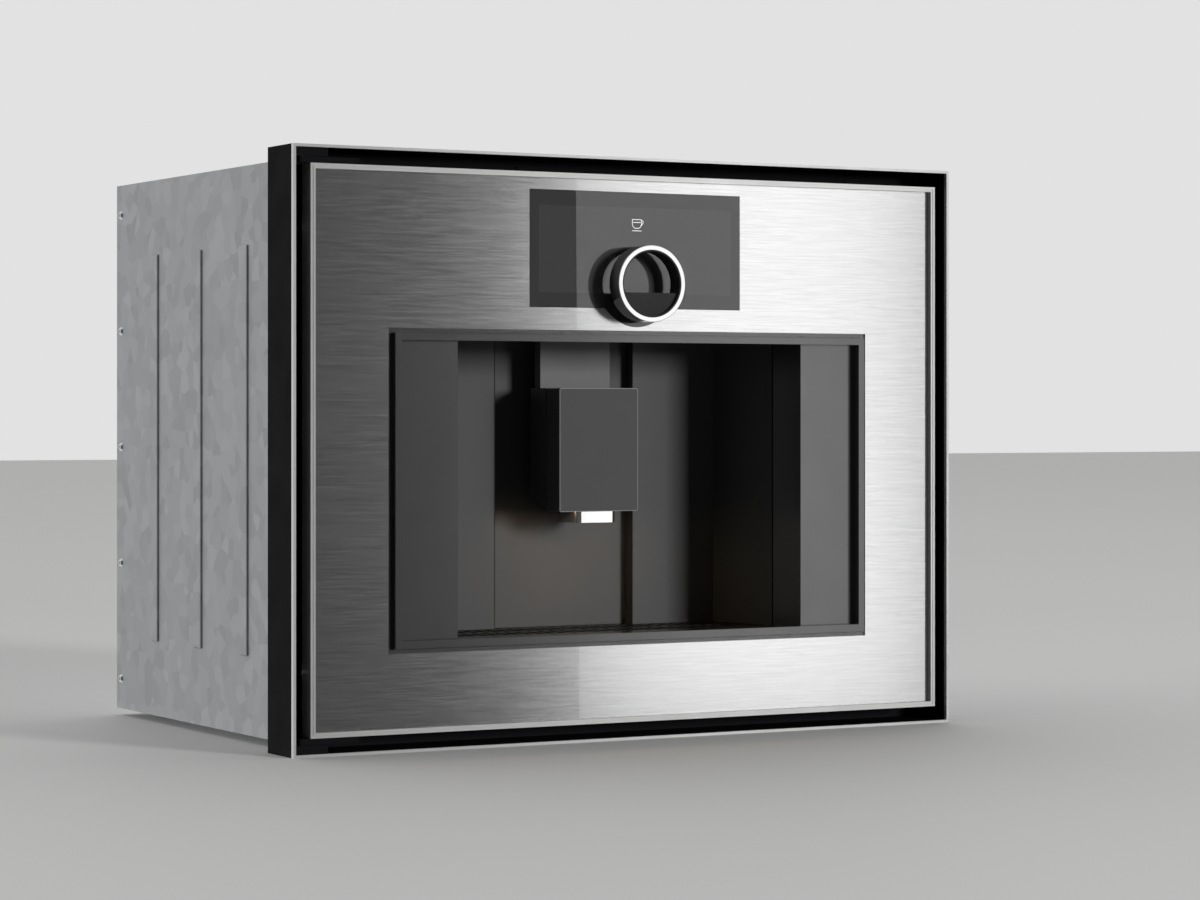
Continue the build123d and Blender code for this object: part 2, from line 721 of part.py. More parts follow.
def outlet_carriage():
    """The slider on the two rods, with the arm that holds the outlet."""
    arm = wide(CARRIAGE_ARM / 2, OUTLET_BACK, CARRIAGE_D + CUT, ARM_BOTTOM, ARM_TOP)
    body = (CARRIAGE_D, CARRIAGE_D + CARRIAGE_T, CARRIAGE_BOTTOM, CARRIAGE_TOP)
    carriage = arm + wide(CARRIAGE_W / 2, *body)
    bore = ROD_R + RUN_GAP
    for sx in (-1, 1):
        carriage -= post(bore, sx * ROD_X, ROD_D, CARRIAGE_BOTTOM - CUT, CARRIAGE_TOP + CUT)
    return carriage


# ---- door


def door_ring(inset, d0, d1):
    """What lies inside the door's outline, drawn in all round by the inset."""
    return wide(DOOR_W / 2 - inset, d0, d1, DOOR_BOTTOM + inset, DOOR_TOP - inset)


def door_frame():
    frame = door_ring(0, 0, FRAME_DEPTH)
    frame -= door_ring(FRAME_FACE, -CUT, LEDGE_D)
    frame -= door_ring(FRAME_FACE + FRAME_LEDGE, -CUT, FRAME_DEPTH + CUT)
    frame -= door_ring(FRAME_WALL, LEDGE_D + FRAME_LEDGE_T, FRAME_DEPTH + CUT)
    middle = FRAME_FACE / 2
    groove = door_ring(middle - GROOVE_W / 2, -CUT, GROOVE_DEEP)
    return frame - (groove - door_ring(middle + GROOVE_W / 2, -2 * CUT, GROOVE_DEEP + CUT))


def trim_outline(grow, d0, d1):
    """The window trim's outer outline, grown all round."""
    half = WINDOW_W / 2 + TRIM_SIDE + grow
    return wide(half, d0, d1, WINDOW_SILL - TRIM_FOOT - grow, WINDOW_TOP + TRIM_TOP + grow)


def front_glass():
    glass = wide(PANEL_W / 2, GLASS_SET, STEEL_D, PANEL_BOTTOM, PANEL_TOP)
    glass -= trim_outline(GLASS_GAP, GLASS_SET - CUT, STEEL_D + CUT)
    return glass - barrel(STEM_R + STEM_GAP, 0, STEM_Z, GLASS_SET - CUT, STEEL_D + CUT)


def steel_sheet():
    sheet = wide(PANEL_W / 2, STEEL_D, LEDGE_D, PANEL_BOTTOM, PANEL_TOP)
    d0 = STEEL_D - CUT
    d1 = LEDGE_D + CUT
    sheet -= trim_outline(STEEL_CLEAR, d0, d1)
    sheet -= wide(DISPLAY_W / 2, d0, d1, DISPLAY_BOTTOM, DISPLAY_TOP)
    return sheet - barrel(KNOB_CUT_R, 0, KNOB_Z, d0, d1)


def window_trim():
    trim = trim_outline(0, 0, TRIM_DEEP)
    return trim - wide(WINDOW_W / 2, -CUT, TRIM_DEEP + CUT, WINDOW_SILL, WINDOW_TOP)


def bay_plan(d0, d1, grow):
    """The bay's plan between two depths, wider by the same amount on both sides."""
    half0 = bay_half(d0) + grow
    half1 = bay_half(d1) + grow
    return [(-half0, d0), (half0, d0), (half1, d1), (-half1, d1)]


def window_liner():
    """The panels beside the opening and the tunnel through the door."""
    d0 = LEDGE_D + REST_GAP
    liner = trim_outline(LINER_EDGE, d0, TRIM_DEEP + LINER_T)
    liner -= trim_outline(REST_GAP, d0 - CUT, TRIM_DEEP)
    walls = bay_plan(TRIM_DEEP, TUNNEL_END, LINER_T)
    liner += plan(walls, TUNNEL_SILL - LINER_T, TUNNEL_TOP + LINER_T)
    way = bay_plan(TRIM_DEEP - CUT, TUNNEL_END + CUT, 0)
    return liner - plan(way, TUNNEL_SILL, TUNNEL_TOP)


def door_pan():
    pan = door_ring(0, FRAME_DEPTH, DOOR_T)
    pan -= door_ring(PAN_T, FRAME_DEPTH - CUT, DOOR_T - PAN_T)
    d0 = DOOR_T - PAN_T - CUT
    rim = LINER_T + REST_GAP
    return pan - wide(bay_half(d0) + rim, d0, DOOR_T + CUT, TUNNEL_SILL - rim, TUNNEL_TOP + rim)


def stem_hole(d0, d1):
    """The hole for the knob's stem."""
    return barrel(STEM_R + STEM_GAP, 0, STEM_Z, d0 - CUT, d1 + CUT)


def display_module():
    half = DISPLAY_W / 2 - GLASS_GAP
    low = DISPLAY_BOTTOM + GLASS_GAP
    body = wide(half, STEEL_D, DISPLAY_BACK, low, DISPLAY_TOP - GLASS_GAP)
    body += barrel(KNOB_CUT_R - GLASS_GAP, 0, KNOB_Z, STEEL_D, DISPLAY_BACK)
    return body - stem_hole(STEEL_D, DISPLAY_BACK)


def control_board():
    """The board on four posts behind the display, with two sockets and a row of relays."""
    d0 = DISPLAY_BACK + BOARD_BACK
    d1 = d0 + BOARD_T
    half = DISPLAY_W / 2 - BOARD_SIDE
    low = DISPLAY_BOTTOM + BOARD_EDGE
    high = DISPLAY_TOP - BOARD_EDGE
    board = wide(half, d0, d1, low, high)
    for sx in (-1, 1):
        x = sx * (half - BOARD_POST_IN)
        for z in (low + BOARD_POST_IN, high - BOARD_POST_IN):
            board += barrel(BOARD_POST_R, x, z, DISPLAY_BACK, d0 + BOARD_T / 2)
        x = sx * SOCKET_X - SOCKET_SIZE / 2
        z = low + SOCKET_RISE
        board += block(x, x + SOCKET_SIZE, d1 - SOLDER, d1 + SOCKET_T, z, z + SOCKET_SIZE)
    for k in range(RELAYS):
        x = (k - (RELAYS - 1) / 2) * RELAY_PITCH - RELAY_SIZE / 2
        z = high - RELAY_DROP - RELAY_SIZE
        board += block(x, x + RELAY_SIZE, d1 - SOLDER, d1 + RELAY_T, z, z + RELAY_SIZE)
    return board - stem_hole(d0, d1)


def knob_hub():
    """The fixed sleeve that the ring turns on, closed below by a half-moon plug."""
    front = -KNOB_REACH + REST_GAP
    outer = KNOB_BORE - RUN_GAP
    sleeve = barrel(outer, 0, KNOB_Z, front, -KNOB_GAP)
    sleeve += barrel(outer + RIDGE, 0, KNOB_Z, RIDGE_D - RIDGE, RIDGE_D + RIDGE)
    sleeve -= barrel(outer - SLEEVE_T, 0, KNOB_Z, front - CUT, -KNOB_GAP + CUT)
    plug = barrel(outer - SLEEVE_T / 2, 0, KNOB_Z, -KNOB_REACH + PLUG_SET, GLASS_SET)
    plug -= wide(KNOB_R, -KNOB_REACH, GLASS_SET + CUT, PLUG_TOP, KNOB_Z + KNOB_R)
    return sleeve + plug + barrel(STEM_R, 0, STEM_Z, 0, DOOR_T - PAN_T)


def knob_ring():
    ring = barrel(KNOB_R, 0, KNOB_Z, -KNOB_REACH, -KNOB_GAP)
    ring = fillet(ring.edges().filter_by(GeomType.CIRCLE), RIDGE)
    ring -= barrel(KNOB_BORE, 0, KNOB_Z, -KNOB_REACH - CUT, -KNOB_GAP + CUT)
    room = RIDGE + RUN_GAP
    return ring - barrel(KNOB_BORE + RIDGE, 0, KNOB_Z, RIDGE_D - room, RIDGE_D + room)


def hinge_arms():
    arms = []
    d0 = HINGE_SET - HINGE_EYE_R
    d1 = HINGE_SET + HINGE_EYE_R
    for z0 in (DOOR_BOTTOM - ARM_T, DOOR_TOP):
        z1 = z0 + ARM_T
        arm = block(HINGE_X, HINGE_X + ARM_LEN, d0, d1, z0, z1)
        arm += post(HINGE_EYE_R, HINGE_X, HINGE_SET, z0, z1)
        arms.append(arm - post(PIN_R + RUN_GAP, HINGE_X, HINGE_SET, z0 - CUT, z1 + CUT))
    return Compound(children=arms)


def hinge_spans():
    """Bottom and top of the lower and upper hinge brackets."""
    low = (COLLAR_WALL, DOOR_BOTTOM - ARM_T - REST_GAP)
    high = (DOOR_TOP + ARM_T + REST_GAP, INNER_TOP)
    return low, high


def hinge_brackets():
    brackets = []
    x0 = -INNER_W / 2
    d0 = HINGE_SET - HINGE_EYE_R
    for z0, z1 in hinge_spans():
        bracket = block(x0, x0 + BRACKET_W, d0, d0 + BRACKET_DEPTH, z0, z1)
        brackets.append(bracket - post(PIN_R, HINGE_X, HINGE_SET, z0 - CUT, z1 + CUT))
    return Compound(children=brackets)


def hinge_pins():
    low, high = hinge_spans()
    pins = [post(PIN_R, HINGE_X, HINGE_SET, low[0], DOOR_BOTTOM)]
    pins.append(post(PIN_R, HINGE_X, HINGE_SET, DOOR_TOP, high[1]))
    return Compound(children=pins)


# ---- drip tray, grounds container, tank and hopper


def drip_tray():
    """A trough with a ledge along its front and its back, where the grid rests."""
    half = bay_half(FLANGE_D) - TRAY_SIDE_GAP
    back = RECESS_BACK - REST_GAP
    tray = wide(half, BULKHEAD_D, back, TRAY_BOTTOM, TRAY_TOP)
    inner0 = BULKHEAD_D + TRAY_WALL
    inner1 = back - TRAY_WALL
    floor = TRAY_BOTTOM + TRAY_WALL
    tray -= wide(half - TRAY_WALL, inner0 + TRAY_LEDGE, inner1 - TRAY_LEDGE, floor, TRAY_TOP)
    return tray - wide(half - TRAY_WALL, inner0, inner1, TRAY_TOP - GRID_T, TRAY_TOP + CUT)


def drip_grid():
    half = bay_half(FLANGE_D) - TRAY_SIDE_GAP - TRAY_WALL - REST_GAP
    d0 = BULKHEAD_D + TRAY_WALL + REST_GAP
    d1 = RECESS_BACK - TRAY_WALL - 2 * REST_GAP
    grid = wide(half, d0, d1, TRAY_TOP - GRID_T, TRAY_TOP)
    columns = int(2 * (half - GRID_EDGE) / GRID_PITCH)
    for row in (-1, 1):
        d = (d0 + d1) / 2 + row * (GRID_SLOT_LEN + GRID_BAR) / 2
        span = (d - GRID_SLOT_LEN / 2, d + GRID_SLOT_LEN / 2)
        for k in range(columns):
            x = (k - (columns - 1) / 2) * GRID_PITCH - GRID_SLOT_W / 2
            grid -= block(x, x + GRID_SLOT_W, *span, TRAY_TOP - GRID_T - CUT, TRAY_TOP + CUT)
    return grid


def open_box(x0, x1, d0, d1, z0, z1, wall):
    """A container that is open at the top."""
    room = block(x0 + wall, x1 - wall, d0 + wall, d1 - wall, z0 + wall, z1 + CUT)
    return block(x0, x1, d0, d1, z0, z1) - room


def finger_notch(x, wall, top):
    """The cut at a container's top front edge, to pull it by."""
    half = NOTCH_W / 2
    return block(x - half, x + half, BULKHEAD_D - CUT, BULKHEAD_D + wall, top - NOTCH_H, top + CUT)


def grounds_container():
    x0 = COLUMN_X - GROUNDS_W
    ends = (BULKHEAD_D, BULKHEAD_D + GROUNDS_DEEP, GROUNDS_BOTTOM, GROUNDS_TOP)
    box = open_box(x0, COLUMN_X, *ends, TRAY_WALL)
    return box - finger_notch(COLUMN_X - GROUNDS_W / 2, TRAY_WALL, GROUNDS_TOP)


def water_tank():
    ends = (BULKHEAD_D, TANK_BACK, TANK_BOTTOM, TANK_TOP)
    tank = open_box(TANK_X, TANK_X + TANK_W, *ends, TANK_WALL)
    x = TANK_X + TANK_W / 2
    d0 = TANK_BACK - TANK_WALL - CUT
    return tank - barrel(SPIGOT_R + STEM_GAP, x, SPIGOT_Z, d0, TANK_BACK + CUT)


def tank_lid():
    z1 = TANK_TOP + LID_T
    lid = block(TANK_X, TANK_X + TANK_W, BULKHEAD_D, TANK_BACK, TANK_TOP, z1)
    x = TANK_X + TANK_W / 2
    d0 = BULKHEAD_D + GRIP_IN
    half = GRIP_SIZE / 2
    return lid - block(x - half, x + half, d0, d0 + GRIP_SIZE, TANK_TOP + LID_T / 2, z1 + CUT)


def tank_dock():
    """The seat under the tank and the spigot that its water leaves through."""
    x0 = TANK_X
    x1 = TANK_X + TANK_W
    top = TANK_BOTTOM - REST_GAP
    seat = block(x0, x1, CASE_D, TANK_BACK + REST_GAP, top - STAND_T, top)
    for x in (x0, x1 - STAND_T):
        seat += block(x, x + STAND_T, CASE_D, TANK_BACK + REST_GAP, BASE_TOP, top)
    back = TANK_BACK + DOCK_T
    seat += block(x0, x1, TANK_BACK + REST_GAP, back, BASE_TOP, SPIGOT_Z + DOCK_RISE)
    spigot = barrel(SPIGOT_R, (x0 + x1) / 2, SPIGOT_Z, TANK_BACK - TANK_WALL, back)
    return seat + spigot


def bean_hopper():
    """An open hopper whose floor slopes down to its mouth over the grinder."""
    x0 = COLUMN_X - HOPPER_W
    d0 = BULKHEAD_D
    d1 = d0 + HOPPER_DEEP
    floor = HOPPER_BOTTOM + TANK_WALL
    hopper = block(x0, COLUMN_X, d0, d1, HOPPER_BOTTOM, HOPPER_TOP)
    profile = [
        (d0 + TANK_WALL, HOPPER_TOP + CUT),
        (d0 + TANK_WALL, HOPPER_BOTTOM + (HOPPER_TOP - HOPPER_BOTTOM) / 3),
        (GRINDER_D - HOPPER_MOUTH_R, floor),
        (d1 - TANK_WALL, floor),
        (d1 - TANK_WALL, HOPPER_TOP + CUT),
    ]
    outline = [(FRONT_Y + d, z) for d, z in profile]
    section = Plane.YZ * make_face(Polyline(*outline, close=True))
    hopper -= Pos(x0 + TANK_WALL, 0, 0) * extrude(section, amount=HOPPER_W - 2 * TANK_WALL)
    hopper -= post(HOPPER_MOUTH_R, GRINDER_X, GRINDER_D, HOPPER_BOTTOM - CUT, floor + CUT)
    return hopper - finger_notch(COLUMN_X - HOPPER_W / 2, TANK_WALL, HOPPER_TOP)


def container_shelves():
    """What the drip tray, the grounds container and the hopper slide on."""
    x = bay_half(FLANGE_D) - TRAY_SIDE_GAP - RUNNER_IN
    shelves = []
    for sx in (-1, 1):
        x0, x1 = sorted((sx * x, sx * (x - RUNNER_W)))
        shelves.append(block(x0, x1, CASE_D, RECESS_BACK, BASE_TOP, TRAY_BOTTOM - REST_GAP))
    top = GROUNDS_BOTTOM - REST_GAP
    x0 = COLUMN_X - GROUNDS_W
    d1 = BULKHEAD_D + GROUNDS_DEEP
    stand = block(x0, COLUMN_X, CASE_D, d1, BASE_TOP, top)
    under = (CASE_D - CUT, d1 + CUT, BASE_TOP - CUT, top - STAND_T)
    shelves.append(stand - block(x0 + STAND_T, COLUMN_X - STAND_T, *under))
    ends = (CASE_D, GRINDER_D + GRINDER_R, GRINDER_TOP, SHELF_TOP)
    mouth = post(HOPPER_MOUTH_R, GRINDER_X, GRINDER_D, GRINDER_TOP - CUT, SHELF_TOP + CUT)
    shelves.append(block(-CASE_INNER, COLUMN_X, *ends) - mouth)
    return Compound(children=shelves)


# ---- grinder


def grinder_housing():
    """The burr chamber under the hopper, with a chute to the brew unit."""
    body = post(GRINDER_R, GRINDER_X, GRINDER_D, GRINDER_BOTTOM, GRINDER_TOP)
    brew_side = -BREW_W / 2
    half = CHUTE_SIZE / 2
    top = CHUTE_Z + CHUTE_SIZE
    body += block(GRINDER_X, brew_side, GRINDER_D - half, GRINDER_D + half, CHUTE_Z, top)
    inner = half - CHUTE_WALL
    floor = CHUTE_Z + CHUTE_WALL
    way = (GRINDER_D - inner, GRINDER_D + inner, floor, top - CHUTE_WALL)
    body -= block(GRINDER_X, brew_side + CUT, *way)
    body -= post(BURR_R + STEM_GAP, GRINDER_X, GRINDER_D, floor, BURR_Z + 2 * BURR_T)
    body -= post(HOPPER_MOUTH_R, GRINDER_X, GRINDER_D, BURR_Z, GRINDER_TOP + CUT)
    return body - post(SHAFT_R + RUN_GAP, GRINDER_X, GRINDER_D, GRINDER_BOTTOM - CUT, BURR_Z)


def fixed_burr():
    z0 = BURR_Z + BURR_T
    z1 = z0 + BURR_T
    ring = post(BURR_R + STEM_GAP, GRINDER_X, GRINDER_D, z0, z1)
    return ring - post(HOPPER_MOUTH_R, GRINDER_X, GRINDER_D, z0 - CUT, z1 + CUT)


def rotating_burr():
    """The lower burr on its shaft, which ends in the motor below."""
    top = BURR_Z + BURR_T
    burr = post(BURR_R, GRINDER_X, GRINDER_D, BURR_Z, top - REST_GAP)
    reach = BURR_R - TOOTH_IN
    for k in range(BURR_TEETH):
        turn = 2 * math.pi * k / BURR_TEETH
        x = GRINDER_X + reach * math.cos(turn)
        d = GRINDER_D + reach * math.sin(turn)
        burr -= post(TOOTH_R, x, d, top - TOOTH_DEEP, top + CUT)
    return burr + post(SHAFT_R, GRINDER_X, GRINDER_D, GRINDER_BOTTOM - MOTOR_H / 2, BURR_Z + CUT)


def grinder_motor():
    motor = post(MOTOR_R, GRINDER_X, GRINDER_D, GRINDER_BOTTOM - MOTOR_H, GRINDER_BOTTOM)
    low = GRINDER_BOTTOM - MOTOR_H / 2 - REST_GAP
    return motor - post(SHAFT_R + RUN_GAP, GRINDER_X, GRINDER_D, low, GRINDER_BOTTOM + CUT)


# ---- brew unit


def brew_frame():
    """Two plates between side plates, with the brewing chamber on the lower one."""
    d0 = BREW_D - BREW_DEPTH / 2
    d1 = BREW_D + BREW_DEPTH / 2
    half = BREW_W / 2
    frame = wide(half, d0, d1, BREW_FLOOR, CHAMBER_Z)
    frame += wide(half, d0, d1, BREW_TOP, BREW_LID)
    for sx in (-1, 1):
        x0, x1 = sorted((sx * half, sx * (half - BREW_SIDE_T)))
        frame += block(x0, x1, d0, d1, BASE_TOP, BREW_LID)
    top = CHAMBER_Z + CHAMBER_H
    frame += post(CHAMBER_R + CHAMBER_WALL, 0, BREW_D, CHAMBER_Z - CUT, top)
    frame -= post(CHAMBER_R + RUN_GAP, 0, BREW_D, CHAMBER_Z + BREW_PLATE_T, top + CUT)
    return frame - post(SPINDLE_R + RUN_GAP, 0, BREW_D, BREW_TOP - CUT, BREW_LID + CUT)


def brew_piston():
    """The piston, with the long nut above it that the spindle turns in."""
    piston = post(CHAMBER_R, 0, BREW_D, PISTON_Z, PISTON_Z + PISTON_H)
    piston += post(NUT_R, 0, BREW_D, PISTON_Z + PISTON_H - CUT, NUT_TOP)
    return piston - post(SPINDLE_R + RUN_GAP, 0, BREW_D, PISTON_Z + PISTON_SKIN, NUT_TOP + CUT)


def brew_spindle():
    """The spindle, with the motor's rotor on its upper end."""
    low = NUT_TOP - NUT_HOLD - PISTON_TRAVEL
    rotor = post(ROTOR_R, 0, BREW_D, ROTOR_BOTTOM, ROTOR_TOP)
    return rotor + post(SPINDLE_R, 0, BREW_D, low, ROTOR_BOTTOM + CUT)


def brew_motor():
    """The motor's round housing, hollow for the rotor and with a hole for the spindle."""
    motor = post(BREW_MOTOR_R, 0, BREW_D, BREW_LID, BREW_LID + BREW_MOTOR_H)
    room = (ROTOR_BOTTOM - ROTOR_GAP, ROTOR_TOP + ROTOR_GAP)
    motor -= post(ROTOR_R + ROTOR_GAP, 0, BREW_D, *room)
    return motor - post(SPINDLE_R + RUN_GAP, 0, BREW_D, BREW_LID - CUT, ROTOR_BOTTOM)


# ---- water, air and power


def thermoblock():
    """The water heater on the side of the brew unit, with cooling slots."""
    x1 = BREW_W / 2 + HEATER_W
    d0 = BREW_D - HEATER_DEPTH / 2
    d1 = BREW_D + HEATER_DEPTH / 2
    body = block(BREW_W / 2, x1, d0, d1, HEATER_Z, HEATER_Z + HEATER_H)
    for k in range(FINS):
        z = HEATER_Z + FIN_FIRST + FIN_PITCH * k
        body -= block(x1 - FIN_DEEP, x1 + CUT, d0 - CUT, d1 + CUT, z, z + FIN_SLOT)
    return body


def water_pump():
    x1 = PUMP_X0 + PUMP_LEN
    pump = axle(PUMP_R, PUMP_X0, x1, PUMP_D, PUMP_Z)
    pump += axle(PUMP_NECK_R, PUMP_X0 - PUMP_OUTLET, x1 + PUMP_INLET, PUMP_D, PUMP_Z)
    half = PUMP_FOOT_DEPTH / 2
    foot = (PUMP_D - half, PUMP_D + half, BASE_TOP, PUMP_Z)
    return pump + block(PUMP_X0 + PUMP_FOOT_IN, x1 - PUMP_FOOT_IN, *foot)


def power_board():
    """The power board on four posts at the right panel, with coils and capacitors."""
    d1 = REAR_D - POWER_BACK
    top = POWER_BOTTOM + POWER_H
    back = POWER_FACE + BOARD_T
    board = block(POWER_FACE, back, POWER_D, d1, POWER_BOTTOM, top)
    for d in (POWER_D + POWER_POST_IN, d1 - POWER_POST_IN):
        for z in (POWER_BOTTOM + POWER_POST_IN, top - POWER_POST_IN):
            board += axle(POWER_POST_R, back - BOARD_T / 2, CASE_INNER, d, z)
    seat = POWER_FACE + SOLDER
    coil_d = POWER_D + COIL_IN
    for k in range(COILS):
        z = POWER_BOTTOM + COIL_FIRST + COIL_PITCH * k
        board += block(POWER_FACE - COIL_T, seat, coil_d, coil_d + COIL_DEPTH, z, z + COIL_H)
        board += axle(CAN_R, POWER_FACE - CAN_LEN, seat, POWER_D + CAN_IN, z + COIL_H / 2)
    return board


def fan_housing():
    half = FAN_SIZE / 2
    d0 = REAR_D - FAN_DEEP
    body = block(FAN_X - half, FAN_X + half, d0, REAR_D, FAN_Z - half, FAN_Z + half)
    body -= barrel(FAN_R, FAN_X, FAN_Z, d0 - CUT, REAR_D + CUT)
    strut_d = REAR_D - FAN_STRUT
    w = FAN_STRUT / 2
    reach = FAN_R + CUT
    body += block(FAN_X - reach, FAN_X + reach, strut_d, REAR_D, FAN_Z - w, FAN_Z + w)
    body += block(FAN_X - w, FAN_X + w, strut_d, REAR_D, FAN_Z - reach, FAN_Z + reach)
    body += barrel(FAN_HUB_R, FAN_X, FAN_Z, FAN_HUB_D, REAR_D)
    bore = FAN_SHAFT_R + RUN_GAP
    return body - barrel(bore, FAN_X, FAN_Z, FAN_HUB_D - CUT, REAR_D - FAN_SHAFT_END)


def fan_rotor():
    d0 = REAR_D - FAN_DEEP + FAN_ROTOR_IN
    d1 = FAN_HUB_D - REST_GAP
    rotor = barrel(FAN_ROTOR_R, FAN_X, FAN_Z, d0, d1)
    length = FAN_R - BLADE_TIP_GAP - BLADE_ROOT
    for k in range(FAN_BLADES):
        blade = Box(length, BLADE_T, d1 - d0 - FAN_ROTOR_IN)
        blade = Pos(length / 2 + BLADE_ROOT, 0, 0) * Rot(BLADE_PITCH, 0, 0) * blade
        blade = Rot(90, 0, 0) * Rot(0, 0, 360.0 * k / FAN_BLADES) * blade
        rotor += Pos(FAN_X, FRONT_Y + (d0 + d1) / 2, FAN_Z) * blade
    end = REAR_D - FAN_SHAFT_END - REST_GAP
    return rotor + barrel(FAN_SHAFT_R, FAN_X, FAN_Z, d1 - CUT, end)


def water_hoses():
    """Dock to pump, and pump to heater."""
    x_dock = TANK_X + TANK_W / 2
    first = [
        (x_dock, TANK_BACK + DOCK_T, SPIGOT_Z),
        (x_dock, PUMP_D, SPIGOT_Z),
        (x_dock, PUMP_D, PUMP_Z),
        (PUMP_X0 + PUMP_LEN + PUMP_INLET, PUMP_D, PUMP_Z),
    ]
    x_turn = PUMP_X0 - PUMP_OUTLET - HOSE_RUN
    x_heater = (BREW_W + HEATER_W) / 2
    port_z = HEATER_Z + HEATER_PORT
    second = [
        (PUMP_X0 - PUMP_OUTLET, PUMP_D, PUMP_Z),
        (x_turn, PUMP_D, PUMP_Z),
        (x_turn, PUMP_D, port_z),
        (x_heater, PUMP_D, port_z),
        (x_heater, BREW_D + HEATER_DEPTH / 2, port_z),
    ]
    return Compound(children=[tube(first, HOSE_R), tube(second, HOSE_R)])


def wiring_harness():
    """From the mains inlet along the back to the power board."""
    d0 = BODY_DEPTH - INLET_DEEP
    d1 = d0 - HARNESS_BACK
    x_turn = POWER_FACE - HARNESS_OUT
    z_run = INLET_Z + HARNESS_RISE
    z_end = POWER_BOTTOM + HARNESS_Z
    points = [
        (INLET_X, d0, INLET_Z),
        (INLET_X, d1, INLET_Z),
        (INLET_X, d1, z_run),
        (x_turn, d1, z_run),
        (x_turn, d1, z_end),
        (POWER_FACE, d1, z_end),
    ]
    return tube(points, HARNESS_R)


NODES = {
    "collar_trim": collar_trim,
    "collar_sleeve": collar_sleeve,
    "front_bulkhead": front_bulkhead,
    "casing_screws": casing_screws,
    "door_magnets": door_magnets,
    "base_pan": base_pan,
    "left_panel": lambda: side_panel(-1),
    "right_panel": lambda: side_panel(1),
    "top_cover": top_cover,
    "rear_panel": rear_panel,
    "mains_inlet": mains_inlet,
    "feet": feet,
    "bay_left_wall": lambda: bay_side_wall(-1),
    "bay_right_wall": lambda: bay_side_wall(1),
    "bay_back_wall": bay_back_wall,
    "bay_ceiling": bay_ceiling,
    "guide_rods": guide_rods,
    "rod_brackets": rod_brackets,
    "outlet_cover": outlet_cover,
    "outlet_lamps": outlet_lamps,
    "outlet_rear_housing": outlet_rear_housing,
    "outlet_mast": outlet_mast,
    "nozzle_block": nozzle_block,
    "outlet_carriage": outlet_carriage,
    "door_frame": door_frame,
    "front_glass": front_glass,
    "steel_sheet": steel_sheet,
    "window_trim": window_trim,
    "window_liner": window_liner,
    "door_pan": door_pan,
    "display_module": display_module,
    "control_board": control_board,
    "knob_hub": knob_hub,
    "knob_ring": knob_ring,
    "hinge_arms": hinge_arms,
    "hinge_brackets": hinge_brackets,
    "hinge_pins": hinge_pins,
    "drip_tray": drip_tray,
    "drip_grid": drip_grid,
    "grounds_container": grounds_container,
    "water_tank": water_tank,
    "tank_lid": tank_lid,
    "tank_dock": tank_dock,
    "bean_hopper": bean_hopper,
    "container_shelves": container_shelves,
    "grinder_housing": grinder_housing,
    "fixed_burr": fixed_burr,
    "rotating_burr": rotating_burr,
    "grinder_motor": grinder_motor,
    "brew_frame": brew_frame,
    "brew_piston": brew_piston,
    "brew_spindle": brew_spindle,
    "brew_motor": brew_motor,
    "thermoblock": thermoblock,
    "water_pump": water_pump,
    "power_board": power_board,
    "fan_housing": fan_housing,
    "fan_rotor": fan_rotor,
    "water_hoses": water_hoses,
    "wiring_harness": wiring_harness,
}

os.makedirs("parts", exist_ok=True)
for name, make in NODES.items():
    export_step(make(), f"parts/{name}.step")
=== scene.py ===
# %% [markdown]
# # A built in coffee machine
#
# The construction is already finished: every panel, screw and hinge has its real size and sits in its
# place. What is left is how it looks. Each cell below takes one piece or one finish of the machine,
# says what it is on the real object, and gives it that look.

import json
import math

import bmesh
import bpy
from mathutils import Matrix, Vector


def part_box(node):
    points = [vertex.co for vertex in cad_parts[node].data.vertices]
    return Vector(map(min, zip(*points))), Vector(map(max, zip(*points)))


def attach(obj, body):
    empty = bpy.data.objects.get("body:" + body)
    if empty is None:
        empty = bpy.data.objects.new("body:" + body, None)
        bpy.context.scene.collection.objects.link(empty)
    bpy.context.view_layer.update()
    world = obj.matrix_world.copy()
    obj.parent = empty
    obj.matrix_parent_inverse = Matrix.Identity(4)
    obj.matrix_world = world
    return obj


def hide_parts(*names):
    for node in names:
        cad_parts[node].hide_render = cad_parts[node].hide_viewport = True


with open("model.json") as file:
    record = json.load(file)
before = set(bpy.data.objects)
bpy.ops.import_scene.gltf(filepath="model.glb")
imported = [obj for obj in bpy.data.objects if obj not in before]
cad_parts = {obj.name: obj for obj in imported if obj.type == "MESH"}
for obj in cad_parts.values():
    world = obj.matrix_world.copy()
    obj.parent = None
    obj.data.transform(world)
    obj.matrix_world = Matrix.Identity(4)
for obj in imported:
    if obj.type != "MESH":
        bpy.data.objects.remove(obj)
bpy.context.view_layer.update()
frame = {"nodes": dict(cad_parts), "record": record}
nodes = frame["nodes"]
record = frame["record"]
slot_of = {part["node"]: part["material_slot"] for part in record["subparts"]}

# %% [markdown]
# ## The camera
#
# The machine is seen from the left, level with its middle, through a long lens. The lens is shifted
# a little instead of tilting the camera, so upright edges stay upright, as a product photographer
# does it.

# %% Camera
LENS = 100.0
SENSOR = 36.0
NEAREST = 0.05
CAMERA_PLACE = (-1.30344, -2.44918, 0.25726)
CAMERA_TURN = math.radians(-29.3218)
LENS_SHIFT = -0.03287
scene = bpy.context.scene


def add_camera():
    data = bpy.data.cameras.new("camera")
    data.lens = LENS
    data.sensor_width = SENSOR
    data.shift_y = LENS_SHIFT
    data.clip_start = NEAREST
    camera = bpy.data.objects.new("camera", data)
    camera.location = CAMERA_PLACE
    camera.rotation_euler = (math.radians(90), 0, CAMERA_TURN)
    scene.collection.objects.link(camera)
    scene.camera = camera
    return camera


camera = add_camera()
print("camera at", [round(v, 2) for v in camera.location])

